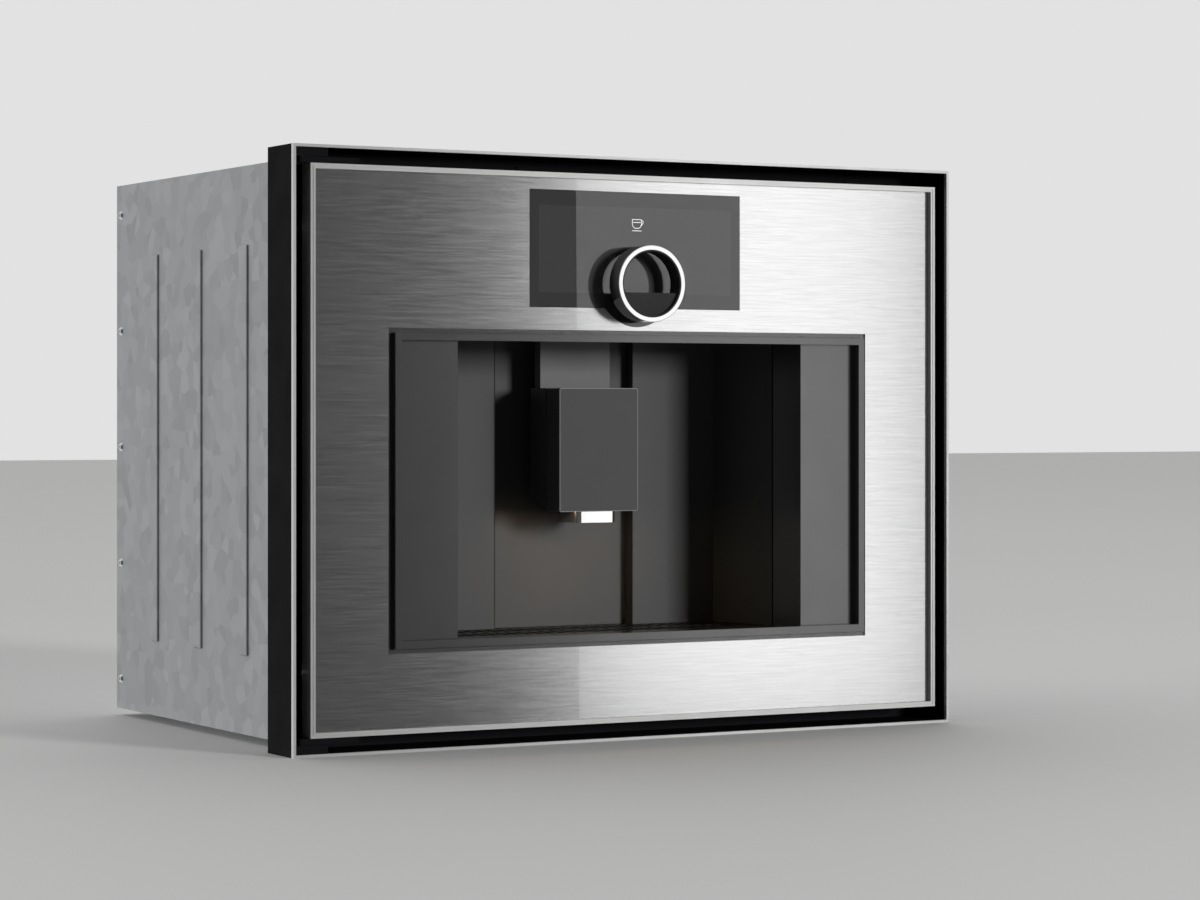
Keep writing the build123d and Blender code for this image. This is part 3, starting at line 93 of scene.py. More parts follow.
# %% [markdown]
# ## Lamps
#
# Steel and glass show what stands around them, so the light is part of their look, and the two jobs
# of a lamp are kept apart. A firm lamp at the right front lights the machine and throws the outlet's
# shadow to the left. It is hidden from reflections. A tall soft box further right lights nothing, and
# only shows in steel and glass: its left edge gives the sharp upright line on the display, and it
# leaves the left side of the steel dark.

# %% Lamps
MM = 0.001
FRONT_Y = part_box("collar_trim")[0].y
AIM = Vector((0, FRONT_Y, 0.24))


def add_lamp(name, place, size, radiance):
    """A flat lamp that faces the machine and that the camera never sees directly."""
    data = bpy.data.lights.new(name, "AREA")
    data.shape = "RECTANGLE"
    data.size, data.size_y = size
    data.energy = radiance * math.pi * size[0] * size[1]
    lamp = bpy.data.objects.new(name, data)
    lamp.location = place
    lamp.rotation_euler = (AIM - lamp.location).to_track_quat("-Z", "Y").to_euler()
    lamp.visible_camera = False
    scene.collection.objects.link(lamp)
    return lamp


firm_lamp = add_lamp("firm_lamp", place=(4.06, -9.47, 1.48), size=(1.8, 1.8), radiance=90.0)
firm_lamp.visible_glossy = False
soft_box = add_lamp("soft_box", place=(1.294, -2.08, 0.4), size=(0.53, 1.3), radiance=1.6)
soft_box.visible_diffuse = False

# %% [markdown]
# ## Room and floor
#
# The room is pale behind and beside the machine and dim in front of it, where the steel looks. One
# smooth step on the direction of the ray is enough for that. The camera itself sees the pale room
# everywhere, which the Light Path node tells apart, and a mirror finds the dim part a little lighter
# than bare light does, so that steel never turns black. The floor is a wide sheet whose size never
# shows. It isn't mirrored, because its far part would draw a bright band across the steel.

# %% Room and floor
PALE = 0.76
DIM = 0.03
MIRRORED_DIM = 0.088
DIM_UP_TO = -0.5
PALE_FROM = 0.2
FLOOR_REACH = 14


def add_room():
    world = bpy.data.worlds.new("room")
    world.use_nodes = True
    tree = world.node_tree
    direction = tree.nodes.new("ShaderNodeTexCoord")
    parts = tree.nodes.new("ShaderNodeSeparateXYZ")
    tree.links.new(direction.outputs["Generated"], parts.inputs[0])
    ray = tree.nodes.new("ShaderNodeLightPath")
    dim = tree.nodes.new("ShaderNodeMath")
    dim.operation = "MULTIPLY_ADD"
    dim.inputs[1].default_value = MIRRORED_DIM - DIM
    dim.inputs[2].default_value = DIM
    tree.links.new(ray.outputs["Is Glossy Ray"], dim.inputs[0])
    step = tree.nodes.new("ShaderNodeMapRange")
    step.interpolation_type = "SMOOTHSTEP"
    step.inputs["From Min"].default_value = DIM_UP_TO
    step.inputs["From Max"].default_value = PALE_FROM
    step.inputs["To Max"].default_value = PALE
    tree.links.new(dim.outputs[0], step.inputs["To Min"])
    tree.links.new(parts.outputs["Y"], step.inputs["Value"])
    seen = tree.nodes.new("ShaderNodeMix")
    seen.data_type = "RGBA"
    seen.inputs[7].default_value = (PALE, PALE, PALE, 1)
    tree.links.new(ray.outputs["Is Camera Ray"], seen.inputs[0])
    tree.links.new(step.outputs["Result"], seen.inputs[6])
    tree.links.new(seen.outputs[2], tree.nodes["Background"].inputs["Color"])
    scene.world = world


def add_floor():
    bm = bmesh.new()
    bmesh.ops.create_grid(bm, x_segments=8, y_segments=8, size=FLOOR_REACH)
    mesh = bpy.data.meshes.new("floor")
    bm.to_mesh(mesh)
    bm.free()
    floor = bpy.data.objects.new("floor", mesh)
    scene.collection.objects.link(floor)
    floor.visible_glossy = False
    return floor


add_room()
floor = add_floor()
scene.view_settings.view_transform = "Standard"
print("room pale", PALE, "and dim", DIM, "or in a mirror", MIRRORED_DIM)

# %% [markdown]
# ## How a finish is made
#
# No real surface has one flat colour. Each finish here starts from a Principled shader. A noise in
# the object's own space makes its gloss and colour slightly uneven, and a second, finer one gives it
# relief. Stretching such a noise along one axis turns it from mottle into brush lines.

# %% Helpers for finishes
NOISE_LOW = 0.3
NOISE_HIGH = 0.7


def add_node(tree, kind, links=None, **values):
    """A shader node with its input values set and its linked inputs joined."""
    item = tree.nodes.new(kind)
    for key, value in values.items():
        item.inputs[key.replace("_", " ")].default_value = value
    for key, socket in (links or {}).items():
        tree.links.new(socket, item.inputs[key])
    return item


def stretched(tree, waves):
    """Object coordinates scaled to so many waves per metre along X, Y and Z."""
    place = tree.nodes.new("ShaderNodeTexCoord")
    return add_node(tree, "ShaderNodeMapping", {"Vector": place.outputs["Object"]}, Scale=waves).outputs[0]


def grain(tree, waves, detail=4.0):
    """Noise in object space."""
    noise = add_node(tree, "ShaderNodeTexNoise", {"Vector": stretched(tree, waves)}, Scale=1.0,
                     Detail=detail)
    return noise.outputs["Fac"]


def spread(tree, value, low, high):
    """Turns a noise into a range of values."""
    item = add_node(tree, "ShaderNodeMapRange", {"Value": value})
    item.inputs["From Min"].default_value = NOISE_LOW
    item.inputs["From Max"].default_value = NOISE_HIGH
    item.inputs["To Min"].default_value = low
    item.inputs["To Max"].default_value = high
    return item.outputs["Result"]


def tinted(tree, value, colour, amount):
    """The colour made a little darker and lighter by a noise."""
    item = tree.nodes.new("ShaderNodeMix")
    item.data_type = "RGBA"
    item.inputs[6].default_value = (*[c * (1 - amount) for c in colour], 1)
    item.inputs[7].default_value = (*[min(c * (1 + amount), 1) for c in colour], 1)
    tree.links.new(value, item.inputs[0])
    return item.outputs[2]


def finish(name, colour, rough, metal=0.0, mottle=(40, 40, 40), relief=(900, 900, 900), depth=0.02,
           amount=0.06, **sockets):
    """A finish with uneven gloss, slightly uneven colour and a fine relief."""
    material = bpy.data.materials.new(name)
    material.use_nodes = True
    tree = material.node_tree
    shader = tree.nodes["Principled BSDF"]
    shader.inputs["Metallic"].default_value = metal
    for key, value in sockets.items():
        shader.inputs[key.replace("_", " ")].default_value = value
    patch = grain(tree, mottle)
    tree.links.new(tinted(tree, patch, colour, amount), shader.inputs["Base Color"])
    tree.links.new(spread(tree, patch, *rough), shader.inputs["Roughness"])
    height = grain(tree, relief, 2.0)
    bump = add_node(tree, "ShaderNodeBump", {"Height": height}, Strength=depth, Distance=MM)
    tree.links.new(bump.outputs[0], shader.inputs["Normal"])
    return material


print("finishes start from", len(bpy.data.materials), "materials")

# %% [markdown]
# ## Brushed steel
#
# The sheet behind the glass is brushed from side to side. The lines are finer than a pixel, so what
# the eye sees of them are soft streaks in the gloss and the grey: a noise with few waves along the
# sheet and very many up it. The glass in front of the sheet touches it, so its sharp reflection is
# made here as well, as a clear coat on the steel. A mirror on a see-through pane would need many more
# rays for the same picture.

# %% Steel
STREAKS = (34, 34, 1250)
GLASS_SKIN = {"Coat_Weight": 1.0, "Coat_Roughness": 0.0, "Coat_IOR": 1.56}
CAST = (650, 650, 650)

steel_front = finish("brushed steel front", (0.62, 0.62, 0.625), (0.165, 0.195), metal=1.0, mottle=STREAKS,
                     relief=STREAKS, depth=0.002, amount=0.26, **GLASS_SKIN)
steel_trim = finish("bright steel edge", (0.8, 0.8, 0.79), (0.29, 0.35), metal=0.7, depth=0.002, amount=0.03)
steel_polished = finish("polished steel", (0.58, 0.58, 0.585), (0.03, 0.06), metal=1.0, depth=0.002,
                        amount=0.02)
steel_satin = finish("satin steel", (0.74, 0.74, 0.74), (0.1, 0.16), metal=1.0, depth=0.01)
aluminium = finish("cast aluminium", (0.6, 0.6, 0.61), (0.42, 0.55), metal=1.0, relief=CAST, depth=0.2)
nickel = finish("nickel plated magnet", (0.35, 0.35, 0.36), (0.2, 0.26), metal=1.0)
print("steel streaks of about", round(1000 / STREAKS[0]), "by", round(1000 / STREAKS[2], 1), "mm")

# %% [markdown]
# ## Galvanised sheet
#
# Zinc sets on steel sheet in flat crystals, each a slightly different grey. A Voronoi texture has just
# such cells: its random cell colour drives the grey, and the gloss changes a little with it.

# %% Zinc
SPANGLES = 70.0
ZINC_GREY = (0.49, 0.5, 0.51)


def galvanised(name):
    zinc = finish(name, ZINC_GREY, (0.4, 0.52), metal=0.5, mottle=(12, 12, 12), relief=(400, 400, 400),
                  depth=0.03)
    tree = zinc.node_tree
    shader = tree.nodes["Principled BSDF"]
    where = stretched(tree, (SPANGLES, SPANGLES, SPANGLES))
    cells = add_node(tree, "ShaderNodeTexVoronoi", {"Vector": where}, Scale=1.0, Randomness=1.0)
    grey = tree.nodes.new("ShaderNodeSeparateColor")
    tree.links.new(cells.outputs["Color"], grey.inputs[0])
    tree.links.new(tinted(tree, grey.outputs[0], ZINC_GREY, 0.09), shader.inputs["Base Color"])
    tree.links.new(spread(tree, grey.outputs[1], 0.38, 0.46), shader.inputs["Roughness"])
    return zinc


zinc = galvanised("galvanised sheet")
print("zinc crystals of about", round(1000 / SPANGLES), "mm")

# %% [markdown]
# ## Lacquer, plastic and rubber
#
# The bay and the outlet are lacquered in satin anthracite, and the window's trim in a glossier one
# that mirrors the soft box. The rim of the outlet's cover gets a lighter grey of its own, which is a
# painted highlight: the thin bright line that light draws along its rounded edge. The collar is a dull
# deep black. Moulded plastic has a coarser grain than lacquer, and rubber hardly shines at all.

# %% Lacquers, plastics and rubber
LEATHERY = (1500, 1500, 1500)
LACQUERED = {"relief": LEATHERY, "depth": 0.004, "amount": 0.03}
MOULDED = {"relief": LEATHERY, "depth": 0.1}

black_lacquer = finish("black enamel", (0.008, 0.008, 0.009), (0.45, 0.55), depth=0.01,
                       Specular_IOR_Level=0.02)
anthracite = finish("anthracite lacquer", (0.079, 0.079, 0.08), (0.29, 0.36), Specular_IOR_Level=0.2,
                    **LACQUERED)
anthracite_trim = finish("window lacquer", (0.03, 0.03, 0.031), (0.22, 0.24), IOR=2.0, **LACQUERED)
anthracite_cover = finish("outlet lacquer", (0.072, 0.072, 0.073), (0.29, 0.36), Specular_IOR_Level=0.2,
                          **LACQUERED)
anthracite_light = finish("light anthracite lacquer", (0.13, 0.13, 0.132), (0.29, 0.36), **LACQUERED)
# A lighter grey for the outlet cover's rim: a painted highlight along its rounded edge.
painted_highlight_rim = finish("lacquer rim painted highlight", (0.27, 0.27, 0.275), (0.29, 0.35), **LACQUERED)
grid_black = finish("blackened grid", (0.02, 0.02, 0.021), (0.3, 0.4), relief=LEATHERY, depth=0.02)
anthracite_plastic = finish("anthracite plastic", (0.05, 0.05, 0.052), (0.29, 0.36), relief=LEATHERY,
                            depth=0.04, amount=0.03)
black_plastic = finish("moulded black plastic", (0.02, 0.02, 0.021), (0.38, 0.5), **MOULDED)
grey_plastic = finish("moulded grey plastic", (0.16, 0.16, 0.165), (0.4, 0.52), **MOULDED)
rubber = finish("soft black rubber", (0.03, 0.03, 0.03), (0.65, 0.8), relief=(700, 700, 700), depth=0.12)
print(len(bpy.data.materials), "finishes so far")

# %% [markdown]
# ## Silicone, ceramic, circuit board and lamp
#
# The pieces inside need finishes of their own. Silicone tubing is milky because light wanders in it,
# which Subsurface does. The two small lamps under the outlet glow warmly, and their light falls on
# the bay, so their lens is a real light source.

# %% Inner materials
silicone = finish("milky silicone", (0.75, 0.76, 0.74), (0.35, 0.5), depth=0.05, Subsurface_Weight=0.2)
ceramic = finish("ceramic burr", (0.85, 0.84, 0.8), (0.3, 0.4), depth=0.08)
solder_mask = finish("solder mask", (0.02, 0.11, 0.05), (0.29, 0.42), mottle=(300, 300, 300), depth=0.05,
                     amount=0.3)
lamp_lens = finish("warm lit lens", (1.0, 0.86, 0.66), (0.4, 0.5), depth=0.05,
                   Emission_Color=(1.0, 0.72, 0.42, 1.0), Emission_Strength=130.0)
print(len(bpy.data.materials), "finishes so far")

# %% [markdown]
# ## Clear glass and clear plastic
#
# Light has to pass through the door's glass without noise, so the glass is a Transparent shader with a
# mirror laid over it only at a slant: the Facing output of a Layer Weight node, raised to the fifth
# power. Seen from the front, the glass shows in the clear coat of the steel and the display behind
# it. The tank and the hopper are the same with a little haze and a wavy surface.

# %% Glass and clear plastic
SLANT_POWER = 5.0
HAZE_SHARE = 0.6


def see_through(name, colour, rough, clear, waviness=0.0):
    """What is behind it shows, tinted, under a mirror that grows at a slant."""
    material = bpy.data.materials.new(name)
    material.use_nodes = True
    tree = material.node_tree
    tree.nodes.remove(tree.nodes["Principled BSDF"])
    pane = add_node(tree, "ShaderNodeBsdfTransparent", Color=(*colour, 1))
    haze = add_node(tree, "ShaderNodeBsdfDiffuse", Color=(*[c * HAZE_SHARE for c in colour], 1))
    gloss = spread(tree, grain(tree, (30, 30, 30)), *rough)
    shine = add_node(tree, "ShaderNodeBsdfGlossy", {"Roughness": gloss})
    if waviness:
        height = grain(tree, (60, 60, 60))
        bump = add_node(tree, "ShaderNodeBump", {"Height": height}, Strength=waviness, Distance=MM)
        tree.links.new(bump.outputs[0], shine.inputs["Normal"])
    inside = add_node(tree, "ShaderNodeMixShader", {1: haze.outputs[0], 2: pane.outputs[0]})
    inside.inputs[0].default_value = clear
    slant = add_node(tree, "ShaderNodeLayerWeight", Blend=0.5)
    mirror = tree.nodes.new("ShaderNodeMath")
    mirror.operation = "POWER"
    mirror.inputs[1].default_value = SLANT_POWER
    tree.links.new(slant.outputs["Facing"], mirror.inputs[0])
    blend = add_node(tree, "ShaderNodeMixShader",
                     {0: mirror.outputs[0], 1: inside.outputs[0], 2: shine.outputs[0]})
    tree.links.new(blend.outputs[0], tree.nodes["Material Output"].inputs["Surface"])
    return material


glass = see_through("front glass", (0.99, 0.99, 0.99), rough=(0.0, 0.004), clear=1.0)
tank_plastic = see_through("smoke clear plastic", (0.72, 0.77, 0.79), rough=(0.06, 0.14), clear=0.82,
                           waviness=0.15)
print("glass ready")

# %% [markdown]
# ## Display
#
# Behind the glass lies a matt black panel. Its screen is a slightly lighter rectangle in the middle,
# painted by the place on the panel: one ramp on the distance from the middle of the panel sideways
# and one up and down.

# %% Display
SCREEN_HALF_W = 86.5 * MM
SCREEN_HALF_H = 33.5 * MM
SCREEN_Z = 382.3 * MM
SCREEN_EDGE = 0.4 * MM
SCREEN_GREY = 0.052
BORDER_GREY = 0.04


def ramp_down(tree, value, edge):
    """1 inside the edge and 0 outside it."""
    away = tree.nodes.new("ShaderNodeMath")
    away.operation = "ABSOLUTE"
    tree.links.new(value, away.inputs[0])
    step = add_node(tree, "ShaderNodeMapRange", {"Value": away.outputs[0]})
    step.inputs["From Min"].default_value = edge + SCREEN_EDGE
    step.inputs["From Max"].default_value = edge
    return step.outputs["Result"]


def add_display_finish():
    panel = finish("display panel", (BORDER_GREY,) * 3, (0.5, 0.6), depth=0.01, amount=0.02,
                   Specular_IOR_Level=0.1, **GLASS_SKIN)
    tree = panel.node_tree
    place = tree.nodes.new("ShaderNodeTexCoord")
    centred = add_node(tree, "ShaderNodeMapping", {"Vector": place.outputs["Object"]},
                       Location=(0, 0, -SCREEN_Z))
    parts = add_node(tree, "ShaderNodeSeparateXYZ", {0: centred.outputs[0]})
    both = tree.nodes.new("ShaderNodeMath")
    both.operation = "MULTIPLY"
    tree.links.new(ramp_down(tree, parts.outputs["X"], SCREEN_HALF_W), both.inputs[0])
    tree.links.new(ramp_down(tree, parts.outputs["Z"], SCREEN_HALF_H), both.inputs[1])
    grey = tree.nodes.new("ShaderNodeMix")
    grey.data_type = "RGBA"
    grey.inputs[6].default_value = (BORDER_GREY, BORDER_GREY, BORDER_GREY, 1)
    grey.inputs[7].default_value = (SCREEN_GREY, SCREEN_GREY, SCREEN_GREY, 1)
    tree.links.new(both.outputs[0], grey.inputs[0])
    tree.links.new(grey.outputs[2], tree.nodes["Principled BSDF"].inputs["Base Color"])
    return panel


display_panel = add_display_finish()
lit_white = finish("lit white sign", (0.9, 0.9, 0.9), (0.5, 0.6), depth=0.0, amount=0.02,
                   Emission_Color=(1, 1, 1, 1), Emission_Strength=0.6)
print("screen", round(2 * SCREEN_HALF_W / MM), "by", round(2 * SCREEN_HALF_H / MM), "mm")

# %% [markdown]
# ## Every construction piece gets its finish
#
# Each piece of the construction names a material slot, so one table from slot to finish dresses all
# of them. Four pieces then get a variant of their slot's finish.

# %% Finishes by slot
FINISHES = {
    "stainless_trim": steel_trim,
    "brushed_front": steel_front,
    "black_enamel": black_lacquer,
    "galvanised": zinc,
    "anthracite": anthracite,
    "anthracite_plastic": anthracite_plastic,
    "black_plastic": black_plastic,
    "grey_plastic": grey_plastic,
    "clear_glass": glass,
    "dark_display": display_panel,
    "clear_plastic": tank_plastic,
    "polished_steel": steel_polished,
    "satin_steel": steel_satin,
    "cast_aluminium": aluminium,
    "circuit_board": solder_mask,
    "rubber": rubber,
    "silicone": silicone,
    "ceramic_burr": ceramic,
    "magnet": nickel,
    "lamp_lens": lamp_lens,
}
VARIANTS = {
    "outlet_mast": anthracite_light,
    "window_trim": anthracite_trim,
    "window_liner": anthracite_trim,
    "drip_grid": grid_black,
}


def dress(piece, material):
    piece.data.materials.clear()
    piece.data.materials.append(material)


for name, piece in nodes.items():
    dress(piece, VARIANTS.get(name, FINISHES[slot_of[name]]))
print("dressed", len(nodes), "construction pieces")

# %% [markdown]
# ## The floor's finish
#
# A pale floor in the sun fills every shadow above it. A photographer lays dark card where that isn't
# wanted. Here the floor is pale to the camera, and darker to the light that bounces off it into the
# bay.

# %% Floor finish
FLOOR_PALE = (0.8, 0.8, 0.79)
FLOOR_BOUNCE = (0.25, 0.25, 0.25, 1)


def floor_finish():
    pale = finish("pale floor", FLOOR_PALE, (0.6, 0.75), mottle=(0.8, 0.8, 0.8), depth=0.0, amount=0.015)
    tree = pale.node_tree
    colour = tree.nodes["Principled BSDF"].inputs["Base Color"]
    seen = tree.nodes.new("ShaderNodeMix")
    seen.data_type = "RGBA"
    seen.inputs[6].default_value = FLOOR_BOUNCE
    tree.links.new(colour.links[0].from_socket, seen.inputs[7])
    tree.links.new(tree.nodes.new("ShaderNodeLightPath").outputs["Is Camera Ray"], seen.inputs[0])
    tree.links.new(seen.outputs[2], colour)
    return pale


dress(floor, floor_finish())
print("floor dressed in", floor.data.materials[0].name)

# %% [markdown]
# ## Helpers for new pieces
#
# The cells after this one add pieces that are easier to shape here than in the construction: edges
# rounded by less than a millimetre, screw heads, pressed ribs. All of them are measured as on the
# real machine: X to the right, depth behind the collar's front face, and height, in millimetres.

# %% Helpers for new pieces
NEAR = 0.1 * MM


def at(x, depth, z):
    """A point given by its distance from the middle, its depth behind the front and its height."""
    return Vector((x * MM, FRONT_Y + depth * MM, z * MM))


def add_block(bm, low, high, rounding=0.0, segments=3):
    """A box between two corners whose edges are rounded."""
    low, high = at(*low), at(*high)
    place = Matrix.Translation((low + high) / 2) @ Matrix.Diagonal((*(high - low), 1))
    made = bmesh.ops.create_cube(bm, size=1, matrix=place)
    if rounding:
        edges = list({edge for corner in made["verts"] for edge in corner.link_edges})
        bmesh.ops.bevel(bm, geom=edges, offset=rounding * MM, affect="EDGES", segments=segments,
                        profile=0.5, material=-1)


def finished(name, bm, body, slot, material=None):
    """Makes the piece from its mesh, puts it on its body and gives it its finish."""
    bmesh.ops.recalc_face_normals(bm, faces=bm.faces)
    mesh = bpy.data.meshes.new(name)
    bm.to_mesh(mesh)
    bm.free()
    piece = bpy.data.objects.new(name, mesh)
    scene.collection.objects.link(piece)
    dress(piece, material or FINISHES[slot])
    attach(piece, body)
    return piece


print("collar front at y", round(FRONT_Y / MM, 1), "mm")

# %% [markdown]
# ## The door's glass
#
# Glass and steel touch over their whole face. Two faces in one plane confuse a ray that passes
# through the first one, so the glass is copied from its construction piece and drawn 0.2 mm thinner
# at its back.

# %% Door glass
GLASS_GAP = 0.2


def add_glass():
    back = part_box("front_glass")[1].y
    bm = bmesh.new()
    bm.from_mesh(nodes["front_glass"].data)
    bmesh.ops.remove_doubles(bm, verts=bm.verts, dist=0.001 * MM)
    for corner in bm.verts:
        if corner.co.y > back - NEAR:
            corner.co.y -= GLASS_GAP * MM
    pane = finished("door_glass", bm, "door", "clear_glass")
    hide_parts("front_glass")
    return pane


pane = add_glass()
print("glass with", len(pane.data.polygons), "faces")

# %% [markdown]
# ## The outlet's front cover
#
# The cover is a folded metal cap. Its front plate has small round corners and a rim that catches the
# light as a thin line, which a sharp box never does. The plate is a box whose four depth edges are
# rounded first and whose front rim is rounded after that; the body behind it is a little smaller. The
# faces of the rim get a lighter grey, a painted highlight that strengthens that thin bright line.

# %% Outlet cover
PLATE_T = 2.5
PLATE_CORNER = 1.6
PLATE_RIM = 0.7
BODY_STEP = 0.4
BODY_OVERLAP = 0.2
BODY_ROUNDING = 0.3
FACING_FRONT = -0.99


def corner_edges(bm, axis):
    """The edges that run along one axis."""
    return [e for e in bm.edges if abs((e.verts[0].co - e.verts[1].co).normalized()[axis]) > 0.99]


def add_cover_plate(bm, low, high):
    """The front plate, with its corners and then its front rim rounded."""
    plate = Vector((high.x - low.x, PLATE_T * MM, high.z - low.z))
    centre = Vector(((low.x + high.x) / 2, low.y + plate.y / 2, (low.z + high.z) / 2))
    bmesh.ops.create_cube(bm, size=1, matrix=Matrix.Translation(centre) @ Matrix.Diagonal((*plate, 1)))
    bmesh.ops.bevel(bm, geom=corner_edges(bm, 1), offset=PLATE_CORNER * MM, affect="EDGES", segments=4,
                    profile=0.5, material=-1)
    rim = [e for e in bm.edges if all(v.co.y < low.y + NEAR for v in e.verts)]
    bmesh.ops.bevel(bm, geom=rim, offset=PLATE_RIM * MM, affect="EDGES", segments=3, profile=0.5,
                    material=-1)


def add_outlet_cover():
    low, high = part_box("outlet_cover")
    bm = bmesh.new()
    add_cover_plate(bm, low, high)
    front = (low.y - FRONT_Y) / MM + PLATE_T - BODY_OVERLAP
    back = (high.y - FRONT_Y) / MM
    half = (high.x - low.x) / 2 / MM - BODY_STEP
    add_block(bm, (-half, front, low.z / MM + BODY_STEP), (half, back, high.z / MM - BODY_STEP),
              BODY_ROUNDING, 2)
    cover = finished("outlet_front_cover", bm, "outlet", "anthracite", anthracite_cover)
    cover.data.materials.append(painted_highlight_rim)
    # The rim faces get the lighter grey, a painted highlight.
    for face in cover.data.polygons:
        if face.center.y < low.y + PLATE_RIM * MM and face.normal.y > FACING_FRONT:
            face.material_index = 1
    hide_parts("outlet_cover")
    return cover


cover = add_outlet_cover()
print("outlet cover with", len(cover.data.polygons), "faces")

# %% [markdown]
# ## Painted shade along the seam of the bay's back wall
#
# The middle of the bay's back is a recessed plate. Where it meets the outer plate, a thin black strip
# in the rubber finish runs along the step: painted shade, which shows as a fine upright line left of the
# outlet.

# %% Back wall seam
SEAM_W = 0.8
SEAM_PROUD = 0.25
SEAM_SUNK = 1.0
SEAM_ROUNDING = 0.2
SEAM_FOOT = 0.5
SEAM_HEAD = 3
RECESS_HALF = 64.0
BAY_BACK = 122.0
GRID_TOP = 81.6


def add_seam_shade():
    low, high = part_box("bay_back_wall")
    bm = bmesh.new()
    z0 = max(low.z / MM, GRID_TOP) + SEAM_FOOT
    z1 = high.z / MM - SEAM_HEAD
    # Each strip is painted shade: black where the step's own shade falls.
    for edge in (-RECESS_HALF, RECESS_HALF):
        add_block(bm, (edge - SEAM_W / 2, BAY_BACK - SEAM_PROUD, z0),
                  (edge + SEAM_W / 2, BAY_BACK + SEAM_SUNK, z1), SEAM_ROUNDING, 2)
    return finished("back_wall_seam_shade", bm, "housing", "rubber")


# The seam beads are black strips of painted shade.
seam = add_seam_shade()
print("seam beads with", len(seam.data.polygons), "faces")

# %% [markdown]
# ## The cup sign
#
# A small lit cup on the display tells what the machine is about to make. It is drawn as a few
# strokes: curves with a round bevel, turned into a mesh and pressed flat against the panel.

# %% Cup sign
SIGN_X = 0.4
SIGN_Z = 402.4
SIGN_FLAT = 0.25
SIGN_PROUD = 0.1
STROKE = 0.2
CUP_STROKES = [
    [(-4.2, 4.4), (4.0, 4.4)],
    [(-4.2, 4.4), (-4.2, 0.6), (-3.4, -1.4), (-1.7, -2.4), (1.5, -2.4), (3.2, -1.4), (4.0, 0.6), (4.0, 4.4)],
    [(4.0, 3.6), (5.2, 3.6), (5.7, 2.6), (5.2, 1.2), (3.9, -0.2)],
    [(-3.3, 2.2), (3.1, 2.2)],
    [(-4.2, -4.4), (4.0, -4.4)],
]


def round_curve(name, radius, resolution):
    """A curve that is drawn as a round rod."""
    curve = bpy.data.curves.new(name, "CURVE")
    curve.dimensions = "3D"
    curve.bevel_depth = radius * MM
    curve.bevel_resolution = resolution
    return curve


def drawn(curve):
    """The mesh of a curve, ready to be shaped further."""
    pen = bpy.data.objects.new(curve.name, curve)
    scene.collection.objects.link(pen)
    bpy.context.view_layer.update()
    mesh = bpy.data.meshes.new_from_object(pen.evaluated_get(bpy.context.evaluated_depsgraph_get()))
    bpy.data.objects.remove(pen)
    bm = bmesh.new()
    bm.from_mesh(mesh)
    return bm


def add_sign():
    curve = round_curve("sign_strokes", STROKE, 2)
    curve.use_fill_caps = True
    for points in CUP_STROKES:
        stroke = curve.splines.new("POLY")
        stroke.points.add(len(points) - 1)
        for point, (x, z) in zip(stroke.points, points):
            point.co = (x * MM, 0, z * MM, 1)
    bm = drawn(curve)
    panel = (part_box("display_module")[0].y - FRONT_Y) / MM
    place = Matrix.Translation(at(SIGN_X, panel - SIGN_PROUD, SIGN_Z)) @ Matrix.Diagonal((1, SIGN_FLAT, 1, 1))
    bmesh.ops.transform(bm, matrix=place, verts=bm.verts)
    return finished("cup_sign", bm, "door", "dark_display", lit_white)


sign = add_sign()
print("cup sign of", len(CUP_STROKES), "strokes")

# %% [markdown]
# ## The door's gasket
#
# A soft black seal runs round the back of the door and meets the collar's bulkhead, so that steam
# and noise stay inside. It is one closed tube with mitred corners, a little sunk into the door.

# %% Door gasket
GASKET_INSET = 7.0
GASKET_R = 2.2
GASKET_PROUD = 0.8 * GASKET_R


def add_gasket():
    low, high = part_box("door_pan")
    curve = round_curve("gasket_line", GASKET_R, 3)
    line = curve.splines.new("POLY")
    line.points.add(3)
    inset = GASKET_INSET * MM
    corners = [(low.x + inset, low.z + inset), (high.x - inset, low.z + inset),
               (high.x - inset, high.z - inset), (low.x + inset, high.z - inset)]
    for point, (x, z) in zip(line.points, corners):
        point.co = (x, high.y + GASKET_PROUD * MM, z, 1)
    line.use_cyclic_u = True
    return finished("door_gasket", drawn(curve), "door", "rubber")


gasket = add_gasket()
print("gasket round the door's back with", len(gasket.data.polygons), "faces")

# %% [markdown]
# ## Screws of the casing
#
# A sheet metal casing is held by rows of pan head screws. A head is a low cone with a sunk socket,
# made by insetting its top face twice and pushing the inner one down.

# %% Screws
HEAD_R = 3.6
HEAD_TOP_R = 0.72 * HEAD_R
HEAD_H = 1.5
SOCKET_R = 1.5
SOCKET_LIP = 0.05
SOCKET_DEPTH = 0.6 * HEAD_H
ROW_INSET = 9 * MM
HEADS_IN_ROW = 5
LEFT, RIGHT = Vector((-1, 0, 0)), Vector((1, 0, 0))
UP, BACKWARD = Vector((0, 0, 1)), Vector((0, 1, 0))

side_low, side_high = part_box("left_panel")
right_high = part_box("right_panel")[1]
lid_low, lid_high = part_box("top_cover")
back_low, back_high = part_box("rear_panel")


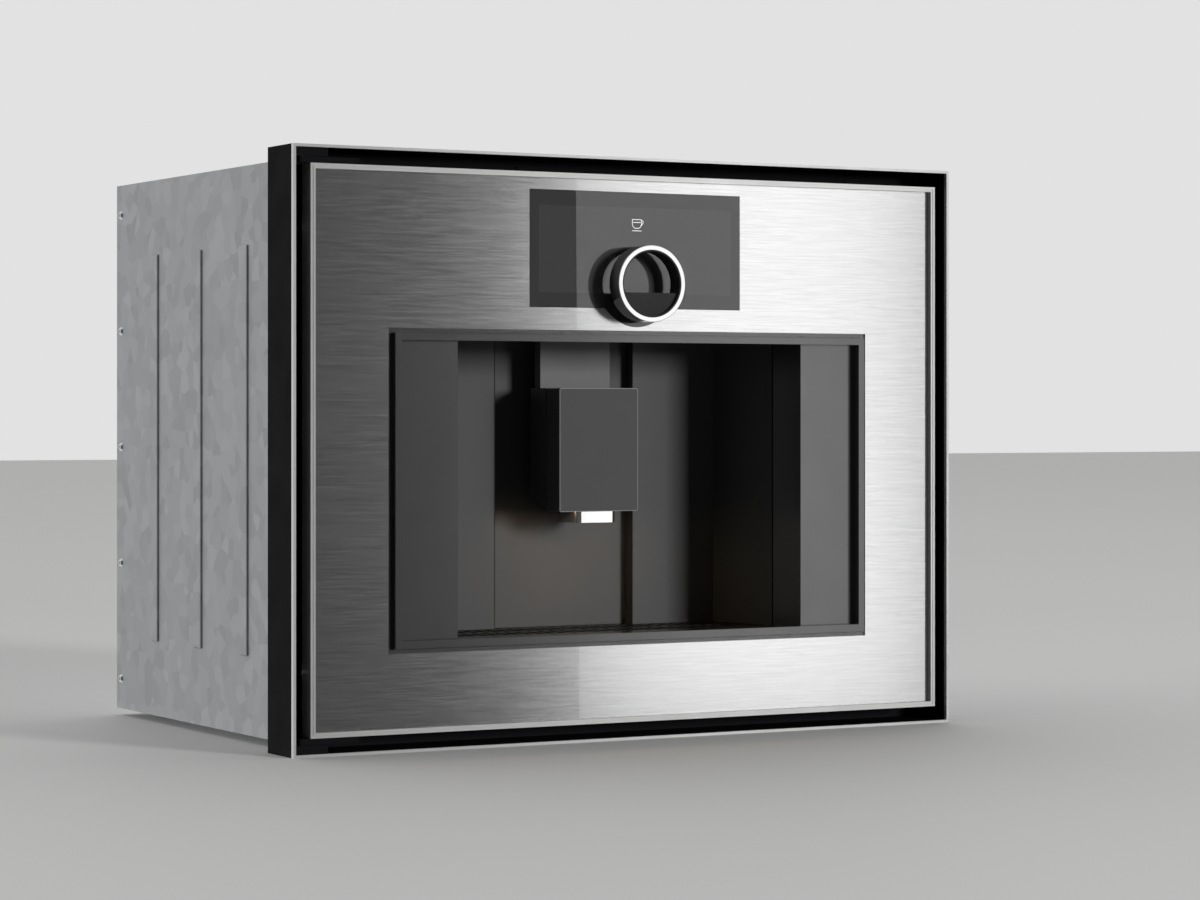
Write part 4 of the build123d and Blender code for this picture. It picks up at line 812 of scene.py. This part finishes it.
def add_head(bm, place, outward):
    """A pan head with a sunk socket, on a surface that faces outward."""
    turn = outward.to_track_quat("Z", "Y").to_matrix().to_4x4()
    middle = Matrix.Translation(place + outward * HEAD_H / 2 * MM)
    made = bmesh.ops.create_cone(bm, cap_ends=True, segments=18, radius1=HEAD_R * MM,
                                 radius2=HEAD_TOP_R * MM, depth=HEAD_H * MM, matrix=middle @ turn)
    faces = {face for corner in made["verts"] for face in corner.link_faces}
    top = max(faces, key=lambda face: face.calc_center_median().dot(outward))
    bmesh.ops.inset_region(bm, faces=[top], thickness=(HEAD_TOP_R - SOCKET_R) * MM)
    bmesh.ops.inset_region(bm, faces=[top], thickness=SOCKET_LIP * MM)
    bmesh.ops.translate(bm, vec=-outward * SOCKET_DEPTH * MM, verts=list(top.verts))


def span(low, high, count, margin):
    """Evenly spaced places between two ends."""
    return [low + margin + (high - low - 2 * margin) * k / (count - 1) for k in range(count)]


def add_casing_screws():
    bm = bmesh.new()
    for z in span(side_low.z, side_high.z, HEADS_IN_ROW, 24 * MM):
        for y in (side_low.y + ROW_INSET, side_high.y - ROW_INSET):
            add_head(bm, Vector((side_low.x, y, z)), LEFT)
            add_head(bm, Vector((right_high.x, y, z)), RIGHT)
    for x in span(lid_low.x, lid_high.x, HEADS_IN_ROW, 20 * MM):
        for y in (lid_low.y + ROW_INSET, lid_high.y - ROW_INSET):
            add_head(bm, Vector((x, y, lid_high.z)), UP)
    for x in span(back_low.x, back_high.x, HEADS_IN_ROW, 14 * MM):
        for z in (back_low.z + ROW_INSET, back_high.z - ROW_INSET):
            add_head(bm, Vector((x, back_high.y, z)), BACKWARD)
    return finished("panel_screws", bm, "housing", "satin_steel")


screws = add_casing_screws()
print("screw heads with", len(screws.data.polygons), "faces")

# %% [markdown]
# ## Pressed ribs
#
# A large flat panel drums. Three long ribs are pressed into each side panel to stiffen it, and they
# stand 1.5 mm proud with rounded edges.

# %% Ribs
RIBS = 3
RIB_PROUD = 1.5
RIB_SUNK = 1.0
RIB_HALF_W = 8
RIB_END = 60
RIB_MARGIN = 85
RIB_ROUNDING = 1.4


def add_ribs():
    bm = bmesh.new()
    front, back = (side_low.y - FRONT_Y) / MM, (side_high.y - FRONT_Y) / MM
    z0, z1 = side_low.z / MM + RIB_END, side_high.z / MM - RIB_END
    for depth in span(front, back, RIBS, RIB_MARGIN):
        for face, outward in ((side_low.x / MM, -1), (right_high.x / MM, 1)):
            x0, x1 = sorted((face - outward * RIB_SUNK, face + outward * RIB_PROUD))
            add_block(bm, (x0, depth - RIB_HALF_W, z0), (x1, depth + RIB_HALF_W, z1), RIB_ROUNDING, 3)
    return finished("side_ribs", bm, "housing", "galvanised")


ribs = add_ribs()
print("ribs with", len(ribs.data.polygons), "faces")

# %% [markdown]
# ## Count of the pieces
#
# The number of construction pieces that got their finish is printed.

# %% Count of the pieces
print("finished", len(nodes), "construction pieces")
